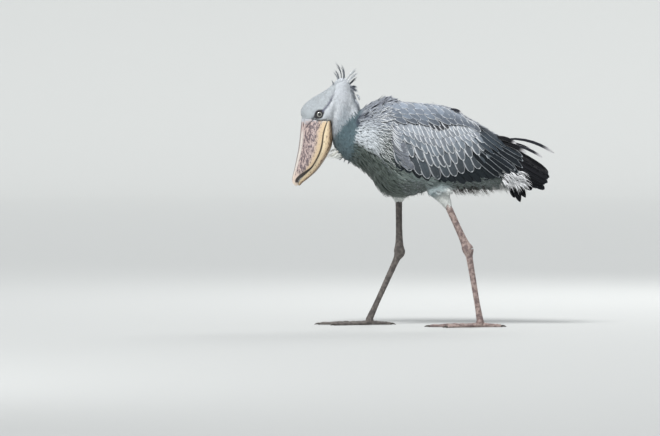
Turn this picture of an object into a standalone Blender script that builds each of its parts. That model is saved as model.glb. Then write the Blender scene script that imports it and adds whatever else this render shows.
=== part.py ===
"""A shoebill walking with its head lowered, as a still, life-size model that stands on its own feet.

Metres, +Z up. The bird faces -X, its left side is towards -Y and its tail towards +X.
"""

import math

import bmesh
import bpy
import numpy as np
from mathutils import Vector

# Sizes shared by every piece.
GAP = 0.0003
LEFT, RIGHT = -1, 1
SIDE_NAMES = {LEFT: "left", RIGHT: "right"}

# The plumage from the bill's base to the wing tips, as rings: the back's x and z, the belly's x and z, the
# half width, and how far the widest place lies towards the belly. The rings fan round the corner of the
# mouth over the crown, run down the neck and then along the trunk.
BODY_STATIONS = (
    (-0.376, 0.654, -0.2830, 0.6440, 0.0460, 0.45),
    (-0.380, 0.677, -0.2829, 0.6441, 0.0480, 0.45),
    (-0.369, 0.698, -0.2828, 0.6442, 0.0500, 0.45),
    (-0.347, 0.717, -0.2826, 0.6442, 0.0520, 0.42),
    (-0.318, 0.734, -0.2820, 0.6440, 0.0530, 0.40),
    (-0.290, 0.751, -0.2800, 0.6430, 0.0530, 0.38),
    (-0.261, 0.775, -0.2770, 0.6410, 0.0510, 0.36),
    (-0.239, 0.778, -0.2745, 0.6380, 0.0500, 0.34),
    (-0.224, 0.762, -0.2725, 0.6300, 0.0500, 0.30),
    (-0.213, 0.740, -0.2755, 0.6100, 0.0500, 0.24),
    (-0.207, 0.724, -0.2765, 0.5860, 0.0490, 0.18),
    (-0.199, 0.704, -0.2690, 0.5580, 0.0500, 0.12),
    (-0.192, 0.686, -0.2480, 0.5320, 0.0550, 0.08),
    (-0.176, 0.693, -0.2170, 0.5120, 0.0680, 0.05),
    (-0.148, 0.706, -0.1640, 0.4730, 0.0840, 0.0),
    (-0.110, 0.718, -0.1200, 0.4220, 0.0960, 0.0),
    (-0.057, 0.706, -0.0660, 0.4090, 0.1020, 0.0),
    (0.013, 0.698, 0.0030, 0.4220, 0.1020, 0.0),
    (0.082, 0.687, 0.0790, 0.4330, 0.0950, 0.0),
    (0.142, 0.657, 0.1480, 0.4330, 0.0800, 0.0),
    (0.202, 0.621, 0.2110, 0.4320, 0.0600, 0.0),
    (0.249, 0.588, 0.2580, 0.4360, 0.0450, 0.0),
    (0.274, 0.569, 0.2830, 0.4420, 0.0410, 0.0),
    (0.312, 0.546, 0.3180, 0.4360, 0.0400, 0.0),
    (0.350, 0.518, 0.3560, 0.4320, 0.0380, 0.0),
    (0.384, 0.493, 0.3870, 0.4320, 0.0340, 0.0),
)
BILL_BASE, HEAD_END, NECK_END, TRUNK_END = 0, 9, 12, 22
HEAD_RINGS, HEAD_SEGMENTS = 20, 20
NECK_RINGS, NECK_SEGMENTS = 6, 20
TRUNK_RINGS, TRUNK_SEGMENTS = 18, 24

# The upper bill below its base, as the culmen's x and z, the mouth line's x and z, and the half width.
UPPER_BILL_STATIONS = (
    (-0.378, 0.636, -0.301, 0.627, 0.0490),
    (-0.380, 0.614, -0.307, 0.603, 0.0510),
    (-0.383, 0.583, -0.311, 0.573, 0.0510),
    (-0.387, 0.554, -0.318, 0.547, 0.0485),
    (-0.392, 0.529, -0.332, 0.518, 0.0430),
    (-0.397, 0.504, -0.348, 0.495, 0.0350),
    (-0.402, 0.482, -0.367, 0.477, 0.0240),
    (-0.406, 0.463, -0.383, 0.461, 0.0130),
    (-0.403, 0.449, -0.388, 0.450, 0.0070),
    (-0.394, 0.441, -0.386, 0.446, 0.0030),
)
# The lower bill, as the mouth line's x and z, the keel's x and z, and the half width.
LOWER_BILL_STATIONS = (
    (-0.300, 0.627, -0.280, 0.622, 0.0460),
    (-0.306, 0.603, -0.278, 0.596, 0.0475),
    (-0.310, 0.573, -0.281, 0.567, 0.0470),
    (-0.317, 0.547, -0.293, 0.540, 0.0440),
    (-0.331, 0.518, -0.312, 0.510, 0.0380),
    (-0.347, 0.494, -0.331, 0.486, 0.0300),
    (-0.366, 0.476, -0.354, 0.466, 0.0190),
    (-0.379, 0.463, -0.371, 0.453, 0.0090),
    (-0.3845, 0.4550, -0.3775, 0.4465, 0.0045),
)
# Half of each bill's outline across, from the mouth line out: the share of its half width and of its depth.
# The upper one ends in the ridge with a groove beside it, where the nostrils lie.
UPPER_BILL_SECTION = (
    (1, 0), (0.99, 0.18), (0.94, 0.38), (0.82, 0.58), (0.62, 0.76), (0.36, 0.88), (0.25, 0.90), (0.15, 0.985),
)
LOWER_BILL_SECTION = ((1, 0), (0.97, 0.34), (0.86, 0.66), (0.55, 0.92))
BILL_RINGS = 13
BILL_BASE_HALF = 0.046
LOWER_BILL_INSET = 0.002
# The corner of the mouth, as a share of the bill's base from the chin up.
MOUTH_SHARE = 0.12
NOSTRIL_PLACE, NOSTRIL_RADII = (-0.3695, 0.0140, 0.634), (0.0040, 0.0016, 0.0080)

EYE_X, EYE_Z = -0.321, 0.667
EYE_RADIUS = 0.0130
BALL_SEGMENTS, NOSTRIL_SEGMENTS = 12, 6
EYE_SINK = 0.0075
LID_RADIUS, LID_THICKNESS = 0.0122, 0.0034
LID_SEGMENTS, LID_SIDES = 10, 5
# The crest, lock by lock: x and z of the root, of the bend and of the tip, and y at the root and the tip.
CREST_LOCKS = (
    (-0.252, 0.768, -0.246, 0.808, -0.270, 0.834, 0.001, 0.004),
    (-0.246, 0.768, -0.238, 0.806, -0.256, 0.826, -0.007, -0.012),
    (-0.260, 0.766, -0.262, 0.790, -0.278, 0.802, -0.004, -0.012),
    (-0.258, 0.766, -0.258, 0.796, -0.271, 0.810, 0.007, 0.014),
    (-0.243, 0.768, -0.240, 0.796, -0.248, 0.812, 0.008, 0.013),
    (-0.236, 0.764, -0.228, 0.786, -0.204, 0.808, -0.003, -0.007),
    (-0.234, 0.762, -0.224, 0.780, -0.203, 0.795, 0.006, 0.012),
    (-0.230, 0.756, -0.216, 0.772, -0.197, 0.783, -0.010, -0.016),
    (-0.228, 0.750, -0.212, 0.762, -0.196, 0.768, 0.004, 0.008),
)
CREST_WIDTH = 0.0075
LOCK_SHAPE = ((0, 1), (0.3, 1), (0.6, 0.8), (0.85, 0.5), (1, 0.15))
VANE_THICKNESS, TIP_THICKNESS = 0.0009, 0.0006
# A feather's shape, as shares of its length and width. Its root is sunk, and it soon clears what it lies on.
FEATHER_SHAPE = ((0, 0.3), (0.22, 0.82), (0.76, 0.98), (1.0, 0.36))
FEATHER_SINK, FEATHER_CLEARANCE = 0.0028, 0.0005

# Feathers that lie on the flank, row by row and the lowest layer first: how many, their places along the row
# as the root's x and z and the tip's x and z, the width, and how far the feather stands off what it lies on,
# near its root and at its tip.
WING_ROWS = (
    ("flight_feathers", 10,
     ((-0.052, 0.504, 0.022, 0.468), (0.100, 0.506, 0.186, 0.463),
      (0.206, 0.520, 0.310, 0.476), (0.262, 0.546, 0.376, 0.490)), 0.029, 0.0018, 0.0022),
    ("greater_coverts", 10,
     ((-0.062, 0.530, -0.024, 0.488), (0.066, 0.536, 0.112, 0.489),
      (0.160, 0.558, 0.226, 0.503), (0.200, 0.592, 0.322, 0.528)), 0.034, 0.0018, 0.0056),
    ("median_coverts", 7,
     ((-0.073, 0.564, -0.050, 0.524), (0.036, 0.568, 0.070, 0.524), (0.140, 0.580, 0.190, 0.542)),
     0.038, 0.0018, 0.0054),
    ("lesser_coverts", 6,
     ((-0.079, 0.596, -0.066, 0.558), (0.026, 0.603, 0.052, 0.561), (0.118, 0.605, 0.156, 0.570)),
     0.040, 0.0016, 0.0052),
)
SCAPULAR_ROWS = (
    ("lower_scapulars", 7,
     ((-0.098, 0.655, -0.062, 0.615), (0.050, 0.664, 0.092, 0.621), (0.130, 0.645, 0.206, 0.598)),
     0.044, 0.0040, 0.0082),
    ("upper_scapulars", 6,
     ((-0.100, 0.682, -0.062, 0.648), (0.020, 0.674, 0.064, 0.648), (0.094, 0.660, 0.146, 0.634)),
     0.038, 0.0020, 0.0060),
)

# The folded wing seen from its side: x, the upper edge's z and the lower edge's z.
WING_OUTLINE = (
    (-0.092, 0.600, 0.540),
    (-0.066, 0.621, 0.501),
    (-0.035, 0.628, 0.485),
    (0.013, 0.628, 0.463),
    (0.060, 0.629, 0.451),
    (0.107, 0.631, 0.447),
    (0.154, 0.617, 0.450),
    (0.202, 0.600, 0.458),
    (0.249, 0.578, 0.468),
    (0.296, 0.552, 0.476),
    (0.343, 0.516, 0.476),
    (0.366, 0.498, 0.480),
)
WING_BULGE, WING_EDGE = 0.004, 0.0014
WING_COLUMNS, WING_LINES = 16, 7
# How deep the wing starts before the trunk is cut from it, and the space kept free for it by the thighs.
WING_DEPTH = 0.002
WING_SPACE_DEPTH, WING_SPACE_HEIGHT, WING_SPACE_MARGIN = 0.004, 0.060, 0.003

# The tail feathers of one side from the middle pair out, and the soft ones beside and under them: how
# many, the first to last roots, the first to last tips, and the width.
TAIL_ROWS = (
    ("tail_feathers", 5,
     ((0.290, 0.004, 0.524), (0.290, 0.011, 0.506), (0.290, 0.016, 0.488), (0.290, 0.017, 0.472)),
     ((0.405, 0.008, 0.468), (0.400, 0.019, 0.448), (0.386, 0.028, 0.428), (0.362, 0.033, 0.410),
      (0.338, 0.035, 0.400), (0.313, 0.033, 0.392)), 0.026),
    ("soft_coverts", 4, ((0.292, 0.022, 0.480), (0.292, 0.018, 0.466), (0.292, 0.010, 0.458)),
     ((0.338, 0.044, 0.452), (0.326, 0.044, 0.428), (0.296, 0.026, 0.404)), 0.024),
)
TAIL_SEGMENTS = 12
TAIL_ROLL, TAIL_STAGGER = 0.0010, 0.0016
TAIL_FEATHER_SHAPE = ((0, 0.3), (0.3, 0.8), (0.8, 1.0), (1.0, 0.5))
# The tail's root, ring by ring: how far inside the trunk's outline, and how far back.
TAIL_ROOT_RINGS = ((0.004, 0.0), (0.012, 0.012), (0.024, 0.024))

# Each leg, by side: hip, end of the feathers, ankle and the joint above the toes.
LEGS = {
    LEFT: ((0.030, 0.480), (0.083, 0.381), (0.147, 0.240), (0.184, 0.020)),
    RIGHT: ((-0.069, 0.470), (-0.069, 0.393), (-0.067, 0.228), (-0.161, 0.020)),
}
THIGH_RADII = {LEFT: (0.041, 0.040, 0.021, 0.0115), RIGHT: (0.045, 0.044, 0.024, 0.0115)}
HIP_Y, SHANK_Y, ANKLE_Y, FOOT_Y = 0.050, 0.060, 0.066, 0.078
THIGH_FLATNESS = 0.8
THIGH_PLACES = (0.0, 0.45, 0.8, 1.0)
TOE_SPLAY = 28.0
TOE_RADIUS = 0.0062
PAD_REACH = 0.030
ANKLE_DROP = 0.016
THIGH_SIDES, SHANK_SIDES, FOOT_SIDES, TOE_SIDES, CLAW_SIDES = 16, 12, 10, 8, 6
# The bare shank down to below the ankle, and the long bone below it: half width and half depth, downwards.
SHANK_PLACES, TARSUS_PLACES = (0.3, 0.6, 0.82, 0.93, 1.0), (0.12, 0.4, 0.75, 0.92, 1.0)
SHANK_SIZES = (
    (0.0095, 0.0105), (0.0090, 0.0100), (0.0090, 0.0105), (0.0105, 0.0125),
    (0.0135, 0.0165), (0.0140, 0.0175), (0.0095, 0.0115),
)
TARSUS_SIZES = (
    (0.0092, 0.0112), (0.0080, 0.0098), (0.0075, 0.0090),
    (0.0075, 0.0085), (0.0090, 0.0100), (0.0100, 0.0105),
)
# The joint above the toes: how far it reaches up the leg, and its half widths and half depths downwards. It
# is made to run below the ground, as its stubs are, and then cut flat.
FOOT_RISE, FOOT_SINK = 0.004, 0.004
FOOT_SIZES = ((0.010, 0.0105), (0.011, 0.0125), (0.009, 0.010))
STUB_HEIGHT, STUB_SIZE = 0.010, (0.009, 0.010)
# How high a toe's middle lies, as a share of its radius: a little flattened by its weight.
TOE_LIFT = 0.8
# A toe's thickness along its length, narrower at each joint, and a claw's reach, rise, half width and half
# height.
TOE_SHAPE = ((0, 1.0), (0.2, 0.86), (0.36, 0.95), (0.5, 0.82), (0.66, 0.90), (0.82, 0.76), (1, 0.60))
CLAW_SHAPE = (
    (0, 0, 0.0030, 0.0036), (0.4, 0.0008, 0.0024, 0.0028),
    (0.75, -0.0005, 0.0014, 0.0018), (1, -0.0022, 0.0004, 0.0005),
)
CLAW_LENGTH = 0.017
# Each toe: its name, its bearing from straight ahead, and its length with no claw.
TOES = (
    ("middle", 0.0, 0.158), ("inner", TOE_SPLAY, 0.118), ("outer", -TOE_SPLAY, 0.124), ("hind", 180.0, 0.066),
)


def clear_scene():
    for thing in list(bpy.data.objects):
        bpy.data.objects.remove(thing)


def material(name, colour, roughness):
    """A plain surface in the part's own colour."""
    made = bpy.data.materials.new(name)
    made.use_nodes = True
    shader = made.node_tree.nodes["Principled BSDF"]
    shader.inputs["Base Color"].default_value = (*colour, 1.0)
    shader.inputs["Roughness"].default_value = roughness
    shader.inputs["Metallic"].default_value = 0.0
    return made


def spline_row(rows, s):
    """The row of values at place s along a Catmull-Rom curve through the rows."""
    last = len(rows) - 1
    s = min(max(s, 0.0), last)
    i = min(int(s), last - 1)
    t = s - i
    p1, p2 = rows[i], rows[i + 1]
    p0 = rows[i - 1] if i else 2 * p1 - p2
    p3 = rows[i + 2] if i + 2 <= last else 2 * p2 - p1
    square, cube = 2 * p0 - 5 * p1 + 4 * p2 - p3, 3 * p1 - p0 - 3 * p2 + p3
    return 0.5 * (2 * p1 + (p2 - p0) * t + square * t**2 + cube * t**3)


def object_from(name, verts, faces, surface):
    mesh = bpy.data.meshes.new(name)
    mesh.from_pydata([tuple(v) for v in verts], [], faces)
    mesh.materials.append(surface)
    made = bpy.data.objects.new(name, mesh)
    bpy.context.scene.collection.objects.link(made)
    builder = bmesh.new()
    builder.from_mesh(mesh)
    bmesh.ops.recalc_face_normals(builder, faces=builder.faces)
    builder.to_mesh(mesh)
    builder.free()
    return made


def skin_rings(name, rings, surface):
    """One closed solid through rings of equally many points, with a flat cap at each end."""
    count = len(rings[0])
    verts = [point for ring in rings for point in ring]
    faces = [tuple(range(count)), tuple(range(len(verts) - count, len(verts)))]
    for i in range(len(rings) - 1):
        for k in range(count):
            a, b = i * count + k, i * count + (k + 1) % count
            faces.append((a, b, b + count, a + count))
    return object_from(name, verts, faces, surface)


class Loft:
    """Rings in planes across the middle plane, each an egg from its back point to its belly point."""

    def __init__(self, stations):
        self.rows = np.array(stations, float)

    def ring_frame(self, s):
        """The ring's middle, its half height as a vector, its half width and its widest place's lean."""
        dx, dz, vx, vz, half_width, lean = spline_row(self.rows, s)
        back, belly = Vector((dx, 0, dz)), Vector((vx, 0, vz))
        return (back + belly) / 2, (back - belly) / 2, half_width, lean

    def point(self, s, angle, grow=0.0, shift=0.0):
        """A place on the ring: angle 0 is the back and 90 degrees the right side. Shift is tailwards."""
        middle, up, half_width, lean = self.ring_frame(s)
        direction = up.normalized()
        along = direction.cross(Vector((0, 1, 0)))
        rise, out = math.cos(angle), math.sin(angle)
        wide = (half_width * (1 - lean * rise) + grow) * out
        return middle + direction * (up.length + grow) * rise + Vector((0, wide, 0)) - along * shift

    def solid(self, name, start, end, rings, segments, surface, grow=0.0):
        """The stretch from start to end, kept GAP / 2 short at both ends, or grown all round as a cutter."""
        made = []
        short = GAP / 2 - grow
        for i in range(rings):
            s = start + (end - start) * i / (rings - 1)
            shift = short if i == 0 else -short if i == rings - 1 else 0.0
            made.append([self.point(s, 2 * math.pi * k / segments, grow, shift) for k in range(segments)])
        return skin_rings(name, made, surface)

    def place_of(self, x, z, low, high):
        """The ring whose plane holds the point x, z of the middle plane."""
        for _ in range(30):
            s = (low + high) / 2
            middle, up, *_ = self.ring_frame(s)
            ahead = (x - middle.x) * up.z - (z - middle.z) * up.x
            low, high = (s, high) if ahead > 0 else (low, s)
        return s

    def flank(self, x, z, side, lift, low=NECK_END, high=None):
        """The point of the side that shows at x, z, raised by lift, and the direction that it faces."""
        s = self.place_of(x, z, low, len(self.rows) - 1 if high is None else high)
        middle, up, half_width, lean = self.ring_frame(s)
        tall = up.length
        share = ((x - middle.x) * up.x + (z - middle.z) * up.z) / tall**2
        share = min(max(share, -0.96), 0.96)
        out = math.sqrt(1 - share**2)
        wide = half_width * (1 - lean * share)
        normal = (up.normalized() * (share / tall) + Vector((0, side * out / wide, 0))).normalized()
        start = middle + up * share + Vector((0, side * wide * out, 0))
        return start + normal * lift, normal


def tube(name, path, sizes, sides, surface, floor=None, first=None, last=None):
    """A solid round a path. Each size is the half width along the ground and the half height across the path.

    First and last are the ways that the two ends face, where a neighbour meets them.
    """
    rings = []
    for i, place in enumerate(path):
        ahead = path[min(i + 1, len(path) - 1)] - path[max(i - 1, 0)]
        if first is not None and i == 0:
            ahead = first.copy()
        if last is not None and i == len(path) - 1:
            ahead = last.copy()
        ahead.normalize()
        across = ahead.cross(Vector((0, 0, 1)))
        if across.length < 0.5:
            across = Vector((0, 1, 0))
        across.normalize()
        rise = across.cross(ahead)
        wide, tall = sizes[i]
        ring = []
        for k in range(sides):
            angle = 2 * math.pi * (k + 0.5) / sides
            point = place + across * wide * math.cos(angle) + rise * tall * math.sin(angle)
            if floor is not None:
                point.z = max(point.z, floor)
            ring.append(point)
        rings.append(ring)
    return skin_rings(name, rings, surface)


def vane(name, edges, normals, surface):
    """A thin feather through pairs of edge points, split into triangles alike on both faces."""
    verts, faces = [], []
    last = len(edges) - 1
    for i, ((left, right), normal) in enumerate(zip(edges, normals)):
        half = normal * (VANE_THICKNESS + (TIP_THICKNESS - VANE_THICKNESS) * i / last) / 2
        verts += [left + half, right + half, right - half, left - half]
    for i in range(last):
        a = 4 * i
        b = a + 4
        faces += [(a, a + 1, b + 1), (a, b + 1, b), (a + 3, b + 2, a + 2), (a + 3, b + 3, b + 2)]
        faces += [(a + 1, a + 2, b + 2), (a + 1, b + 2, b + 1), (a, b, b + 3), (a, b + 3, a + 3)]
    a = 4 * last
    faces += [(0, 3, 2), (0, 2, 1), (a, a + 1, a + 2), (a, a + 2, a + 3)]
    return object_from(name, verts, faces, surface)


def feather_height(share, near, far):
    """How high a feather's middle lies at a share of its length."""
    soon = FEATHER_SHAPE[1][0]
    if share <= soon:
        return -FEATHER_SINK + (FEATHER_SINK + near) * share / soon
    return near + (far - near) * min(1, (share - soon) / (FEATHER_SHAPE[2][0] - soon))


def flank_feather(body, side, root, tip, width, heights, lean, base_lift, surface):
    """A feather on the flank, with its root sunk. Lean is the slope that lays it over the one before it."""
    heading = (tip - root).normalized()
    lower = Vector((heading.y, -heading.x))
    edges, normals = [], []
    for share, wide in FEATHER_SHAPE:
        middle = root.lerp(tip, share)
        height = feather_height(share, *heights)
        pair = []
        for edge in (1, -1):
            offset = edge * wide * width / 2
            place = middle + lower * offset
            lift = base_lift(place.x, place.y) + height + lean * offset
            pair.append(body.flank(place.x, place.y, side, lift)[0])
        edges.append(pair)
        normals.append(body.flank(middle.x, middle.y, side, 0)[1])
    return vane("feather", edges, normals, surface)


def flank_rows(body, side, rows, base_lift, surface):
    """All the feathers of some rows, spread evenly along each."""
    made = []
    for _, count, stations, width, *heights in rows:
        table = np.array(stations, float)
        places = [spline_row(table, (len(table) - 1) * i / (count - 1)) for i in range(count)]
        for i, (x0, z0, x1, z1) in enumerate(places):
            root, tip = Vector((x0, z0)), Vector((x1, z1))
            other = places[i + 1] if i + 1 < count else places[i - 1]
            beside = (Vector(other[:2]) + Vector(other[2:]) - root - tip) / 2
            heading = (tip - root).normalized()
            spacing = abs(beside.x * heading.y - beside.y * heading.x)
            lean = (VANE_THICKNESS + FEATHER_CLEARANCE) / spacing
            made.append(flank_feather(body, side, root, tip, width, heights, lean, base_lift, surface))
    return made


def boolean(target, operation, other):
    """Cuts or joins another object and removes it."""
    step = target.modifiers.new("step", "BOOLEAN")
    step.operation = operation
    step.solver = "EXACT"
    step.object = other
    apply_modifiers(target)
    bpy.data.objects.remove(other)


def fuse(target, pieces):
    """Joins all the pieces to the target at once, and keeps only its largest closed surface."""
    group = bpy.data.collections.new("pieces")
    bpy.context.scene.collection.children.link(group)
    for piece in pieces:
        group.objects.link(piece)
    step = target.modifiers.new("step", "BOOLEAN")
    step.operation = "UNION"
    step.solver = "EXACT"
    step.operand_type = "COLLECTION"
    step.collection = group
    apply_modifiers(target)
    for piece in pieces:
        bpy.data.objects.remove(piece)
    bpy.data.collections.remove(group)
    keep_largest(target)


def keep_largest(target):
    """Drops every closed surface but the largest, such as a scrap or the wall of a sealed hollow."""
    builder = bmesh.new()
    builder.from_mesh(target.data)
    unseen, shells = set(builder.faces), []
    while unseen:
        ends = [unseen.pop()]
        shell = list(ends)
        while ends:
            for edge in ends.pop().edges:
                if len(edge.link_faces) != 2:
                    continue
                beyond = [face for face in edge.link_faces if face in unseen]
                unseen.difference_update(beyond)
                shell += beyond
                ends += beyond
        shells.append(shell)
    shells.sort(key=lambda shell: sum(face.calc_area() for face in shell))
    scraps = [face for shell in shells[:-1] for face in shell]
    bmesh.ops.delete(builder, geom=scraps, context="FACES")
    builder.to_mesh(target.data)
    builder.free()


def apply_modifiers(target):
    graph = bpy.context.evaluated_depsgraph_get()
    mesh = bpy.data.meshes.new_from_object(target.evaluated_get(graph))
    target.modifiers.clear()
    target.data = mesh


def make_bill(body, surface):
    """The two halves of the bill, which meet along the mouth line."""
    middle, up, *_ = body.ring_frame(BILL_BASE)
    forehead, chin = middle + up, middle - up
    corner = chin.lerp(forehead, MOUTH_SHARE)
    base = (forehead.x, forehead.z, corner.x, corner.z, BILL_BASE_HALF)
    upper = bill_half("bill_upper", body, (base, *UPPER_BILL_STATIONS), UPPER_BILL_SECTION, 1, surface)
    for side in (LEFT, RIGHT):
        x, y, z = NOSTRIL_PLACE
        centre = Vector((x, side * y, z))
        nostril = ball("nostril", centre, 1.0, surface, NOSTRIL_SEGMENTS)
        for vertex in nostril.data.vertices:
            vertex.co = centre + (vertex.co - centre) * Vector(NOSTRIL_RADII)
        boolean(upper, "DIFFERENCE", nostril)
    base = (corner.x, corner.z, chin.x, chin.z, BILL_BASE_HALF - LOWER_BILL_INSET)
    bill_half("bill_lower", body, (base, *LOWER_BILL_STATIONS), LOWER_BILL_SECTION, -1, surface)


def bill_half(name, body, stations, section, way, surface):
    """One half of the bill. Way is 1 where it stands on the mouth line and -1 where it hangs from it."""
    rows = np.array(stations, float)
    outline = [*section, (0, 1), *((-wide, tall) for wide, tall in reversed(section))]
    rings = []
    for i in range(BILL_RINGS):
        ax, az, bx, bz, half = spline_row(rows, (len(rows) - 1) * i / (BILL_RINGS - 1))
        far, near = (Vector((ax, 0, az)), Vector((bx, 0, bz)))[::way]
        rise = far - near
        base = near + rise.normalized() * GAP / 2
        rings.append([base + rise * tall + Vector((0, half * wide, 0)) for wide, tall in outline])
    made = skin_rings(name, rings, surface)
    boolean(made, "DIFFERENCE", head_shell(body, "cutter", surface, GAP))
    return made


def head_shell(body, name, surface, grow=0.0):
    return body.solid(name, BILL_BASE, HEAD_END, HEAD_RINGS, HEAD_SEGMENTS, surface, grow)


def make_head(body, plumage, eye_surface):
    """The head with its crest and eyelids, round the two eyes."""
    head = head_shell(body, "head", plumage)
    pieces = [crest_lock(lock, plumage) for lock in CREST_LOCKS]
    pieces += [eyelid(body, side, plumage) for side in (LEFT, RIGHT)]
    fuse(head, pieces)
    for side in (LEFT, RIGHT):
        centre = eye_centre(body, side)
        boolean(head, "DIFFERENCE", ball("socket", centre, EYE_RADIUS + GAP, plumage))
        ball(f"eye_{SIDE_NAMES[side]}", centre, EYE_RADIUS, eye_surface)
    keep_largest(head)


def crest_lock(lock, surface):
    """One narrow feather of the crest, bent along a smooth curve and tapered."""
    x0, z0, x1, z1, x2, z2, y0, y2 = lock
    root, bend, tip = Vector((x0, y0, z0)), Vector((x1, (y0 + y2) / 2, z1)), Vector((x2, y2, z2))
    edges, normals = [], []
    for share, wide in LOCK_SHAPE:
        middle = root.lerp(bend, share).lerp(bend.lerp(tip, share), share)
        heading = (bend - root).lerp(tip - bend, share).normalized()
        across = Vector((0.5, math.copysign(0.85, y2), 0.2)).cross(heading).cross(heading).normalized()
        edges.append((middle + across * CREST_WIDTH * wide / 2, middle - across * CREST_WIDTH * wide / 2))
        normals.append(across.cross(heading).normalized())
    return vane("lock", edges, normals, surface)


def eyelid(body, side, surface):
    """The bare rim round one eye."""
    place, normal = body.flank(EYE_X, EYE_Z, side, 0.0, BILL_BASE, HEAD_END)
    across = normal.cross(Vector((0, 0, 1))).normalized()
    rise = across.cross(normal)
    count, sides = LID_SEGMENTS, LID_SIDES
    verts, faces = [], []
    for i in range(count):
        angle = 2 * math.pi * i / count
        out = across * math.cos(angle) + rise * math.sin(angle)
        for k in range(sides):
            turn = 2 * math.pi * k / sides
            lift = normal * math.sin(turn) + out * math.cos(turn)
            verts.append(place + out * LID_RADIUS + lift * LID_THICKNESS / 2)
    for i in range(count):
        for k in range(sides):
            a, b = i * sides + k, i * sides + (k + 1) % sides
            c, d = ((i + 1) % count) * sides + (k + 1) % sides, ((i + 1) % count) * sides + k
            faces.append((a, b, c, d))
    return object_from("eyelid", verts, faces, surface)


def eye_centre(body, side):
    """The eyeball's middle, sunk below the cheek that shows at the eye."""
    cheek = body.flank(EYE_X, EYE_Z, side, 0.0, BILL_BASE, HEAD_END)[0]
    return Vector((EYE_X, cheek.y - side * EYE_SINK, EYE_Z))


def ball(name, centre, radius, surface, segments=BALL_SEGMENTS):
    builder = bmesh.new()
    bmesh.ops.create_uvsphere(builder, u_segments=segments, v_segments=segments * 2 // 3, radius=radius)
    bmesh.ops.translate(builder, verts=builder.verts, vec=centre)
    mesh = bpy.data.meshes.new(name)
    builder.to_mesh(mesh)
    builder.free()
    mesh.materials.append(surface)
    made = bpy.data.objects.new(name, mesh)
    bpy.context.scene.collection.objects.link(made)
    return made


def wing_edges(x):
    rows = np.array(WING_OUTLINE, float)
    return np.interp(x, rows[:, 0], rows[:, 1]), np.interp(x, rows[:, 0], rows[:, 2])


def wing_lift(x, z):
    """How far the wing's own surface stands off the flank at x, z."""
    top, bottom = wing_edges(x)
    u = min(max((x - WING_OUTLINE[0][0]) / (WING_OUTLINE[-1][0] - WING_OUTLINE[0][0]), 0), 1)
    v = min(max((top - z) / (top - bottom), 0), 1)
    swell = math.sin(math.pi * v) ** 0.6 * math.sin(math.pi * min(1, u * 0.9 + 0.1)) ** 0.7
    return WING_EDGE + WING_BULGE * swell


def wing_slab(name, body, side, low, high, margin, surface):
    """A slab on the flank within the wing's outline. High gives its outer lift at a place."""
    first, last = WING_OUTLINE[0][0], WING_OUTLINE[-1][0]
    inner, outer = [], []
    for i in range(WING_COLUMNS):
        u = i / (WING_COLUMNS - 1)
        x = first + (last - first) * u + margin * (2 * u - 1)
        top, bottom = wing_edges(x)
        for j in range(WING_LINES):
            z = top + margin + (bottom - top - 2 * margin) * j / (WING_LINES - 1)
            inner.append(body.flank(x, z, side, low)[0])
            outer.append(body.flank(x, z, side, high(x, z))[0])
    count = WING_COLUMNS * WING_LINES
    faces = []
    for i in range(WING_COLUMNS - 1):
        for j in range(WING_LINES - 1):
            a = i * WING_LINES + j
            quad = (a, a + 1, a + 1 + WING_LINES, a + WING_LINES)
            faces.append(quad)
            faces.append(tuple(count + q for q in reversed(quad)))
    rim = [i * WING_LINES for i in range(WING_COLUMNS)]
    rim += [(WING_COLUMNS - 1) * WING_LINES + j for j in range(1, WING_LINES)]
    rim += [i * WING_LINES + WING_LINES - 1 for i in reversed(range(WING_COLUMNS - 1))]
    rim += [j for j in reversed(range(1, WING_LINES - 1))]
    for k in range(len(rim)):
        a, b = rim[k], rim[(k + 1) % len(rim)]
        faces.append((a, b, b + count, a + count))
    return object_from(name, inner + outer, faces, surface)


def make_wing(body, side, plumage):
    """The folded wing: a shell that lies on the flank, with its feathers in tiers from the lowest up."""
    wing = wing_slab(f"wing_{SIDE_NAMES[side]}", body, side, -WING_DEPTH, wing_lift, 0.0, plumage)
    fuse(wing, flank_rows(body, side, WING_ROWS, wing_lift, plumage))
    clear_of_torso(body, wing)
    keep_largest(wing)


def make_torso(body, plumage):
    """The trunk with the feathers of both shoulders."""
    torso = trunk(body, "torso", plumage)
    feathers = []
    for side in (LEFT, RIGHT):
        feathers += flank_rows(body, side, SCAPULAR_ROWS, lambda x, z: 0.0, plumage)
    fuse(torso, feathers)


def clear_of_torso(body, target):
    """Cuts the target to lie on the trunk with a small gap."""
    cutter = trunk(body, "cutter", target.data.materials[0], GAP * 1.5)
    boolean(target, "DIFFERENCE", cutter)


def trunk(body, name, surface, grow=0.0):
    return body.solid(name, NECK_END, TRUNK_END, TRUNK_RINGS, TRUNK_SEGMENTS, surface, grow)


def clear_of_wing(body, side, target):
    """Cuts away whatever would reach through the folded wing."""
    surface = target.data.materials[0]
    cutter = wing_slab(
        "cutter", body, side, -WING_SPACE_DEPTH, lambda x, z: WING_SPACE_HEIGHT, WING_SPACE_MARGIN, surface
    )
    boolean(target, "DIFFERENCE", cutter)


def make_tail(body, slate):
    """The tail: a short root behind the trunk, with its feathers in a roof-shaped fan under the wing tips."""
    rings = []
    angles = [2 * math.pi * k / TAIL_SEGMENTS for k in range(TAIL_SEGMENTS)]
    for inset, back in TAIL_ROOT_RINGS:
        move = Vector((back, 0, -back / 2))
        rings.append([body.point(TRUNK_END, angle, -inset, GAP / 2) + move for angle in angles])
    tail = skin_rings("tail", rings, slate)
    feathers = []
    for side in (LEFT, RIGHT):
        for _, count, roots, tips, width in TAIL_ROWS:
            feathers += [tail_feather(i / (count - 1), roots, tips, width, side, slate) for i in range(count)]
    fuse(tail, feathers)


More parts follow.
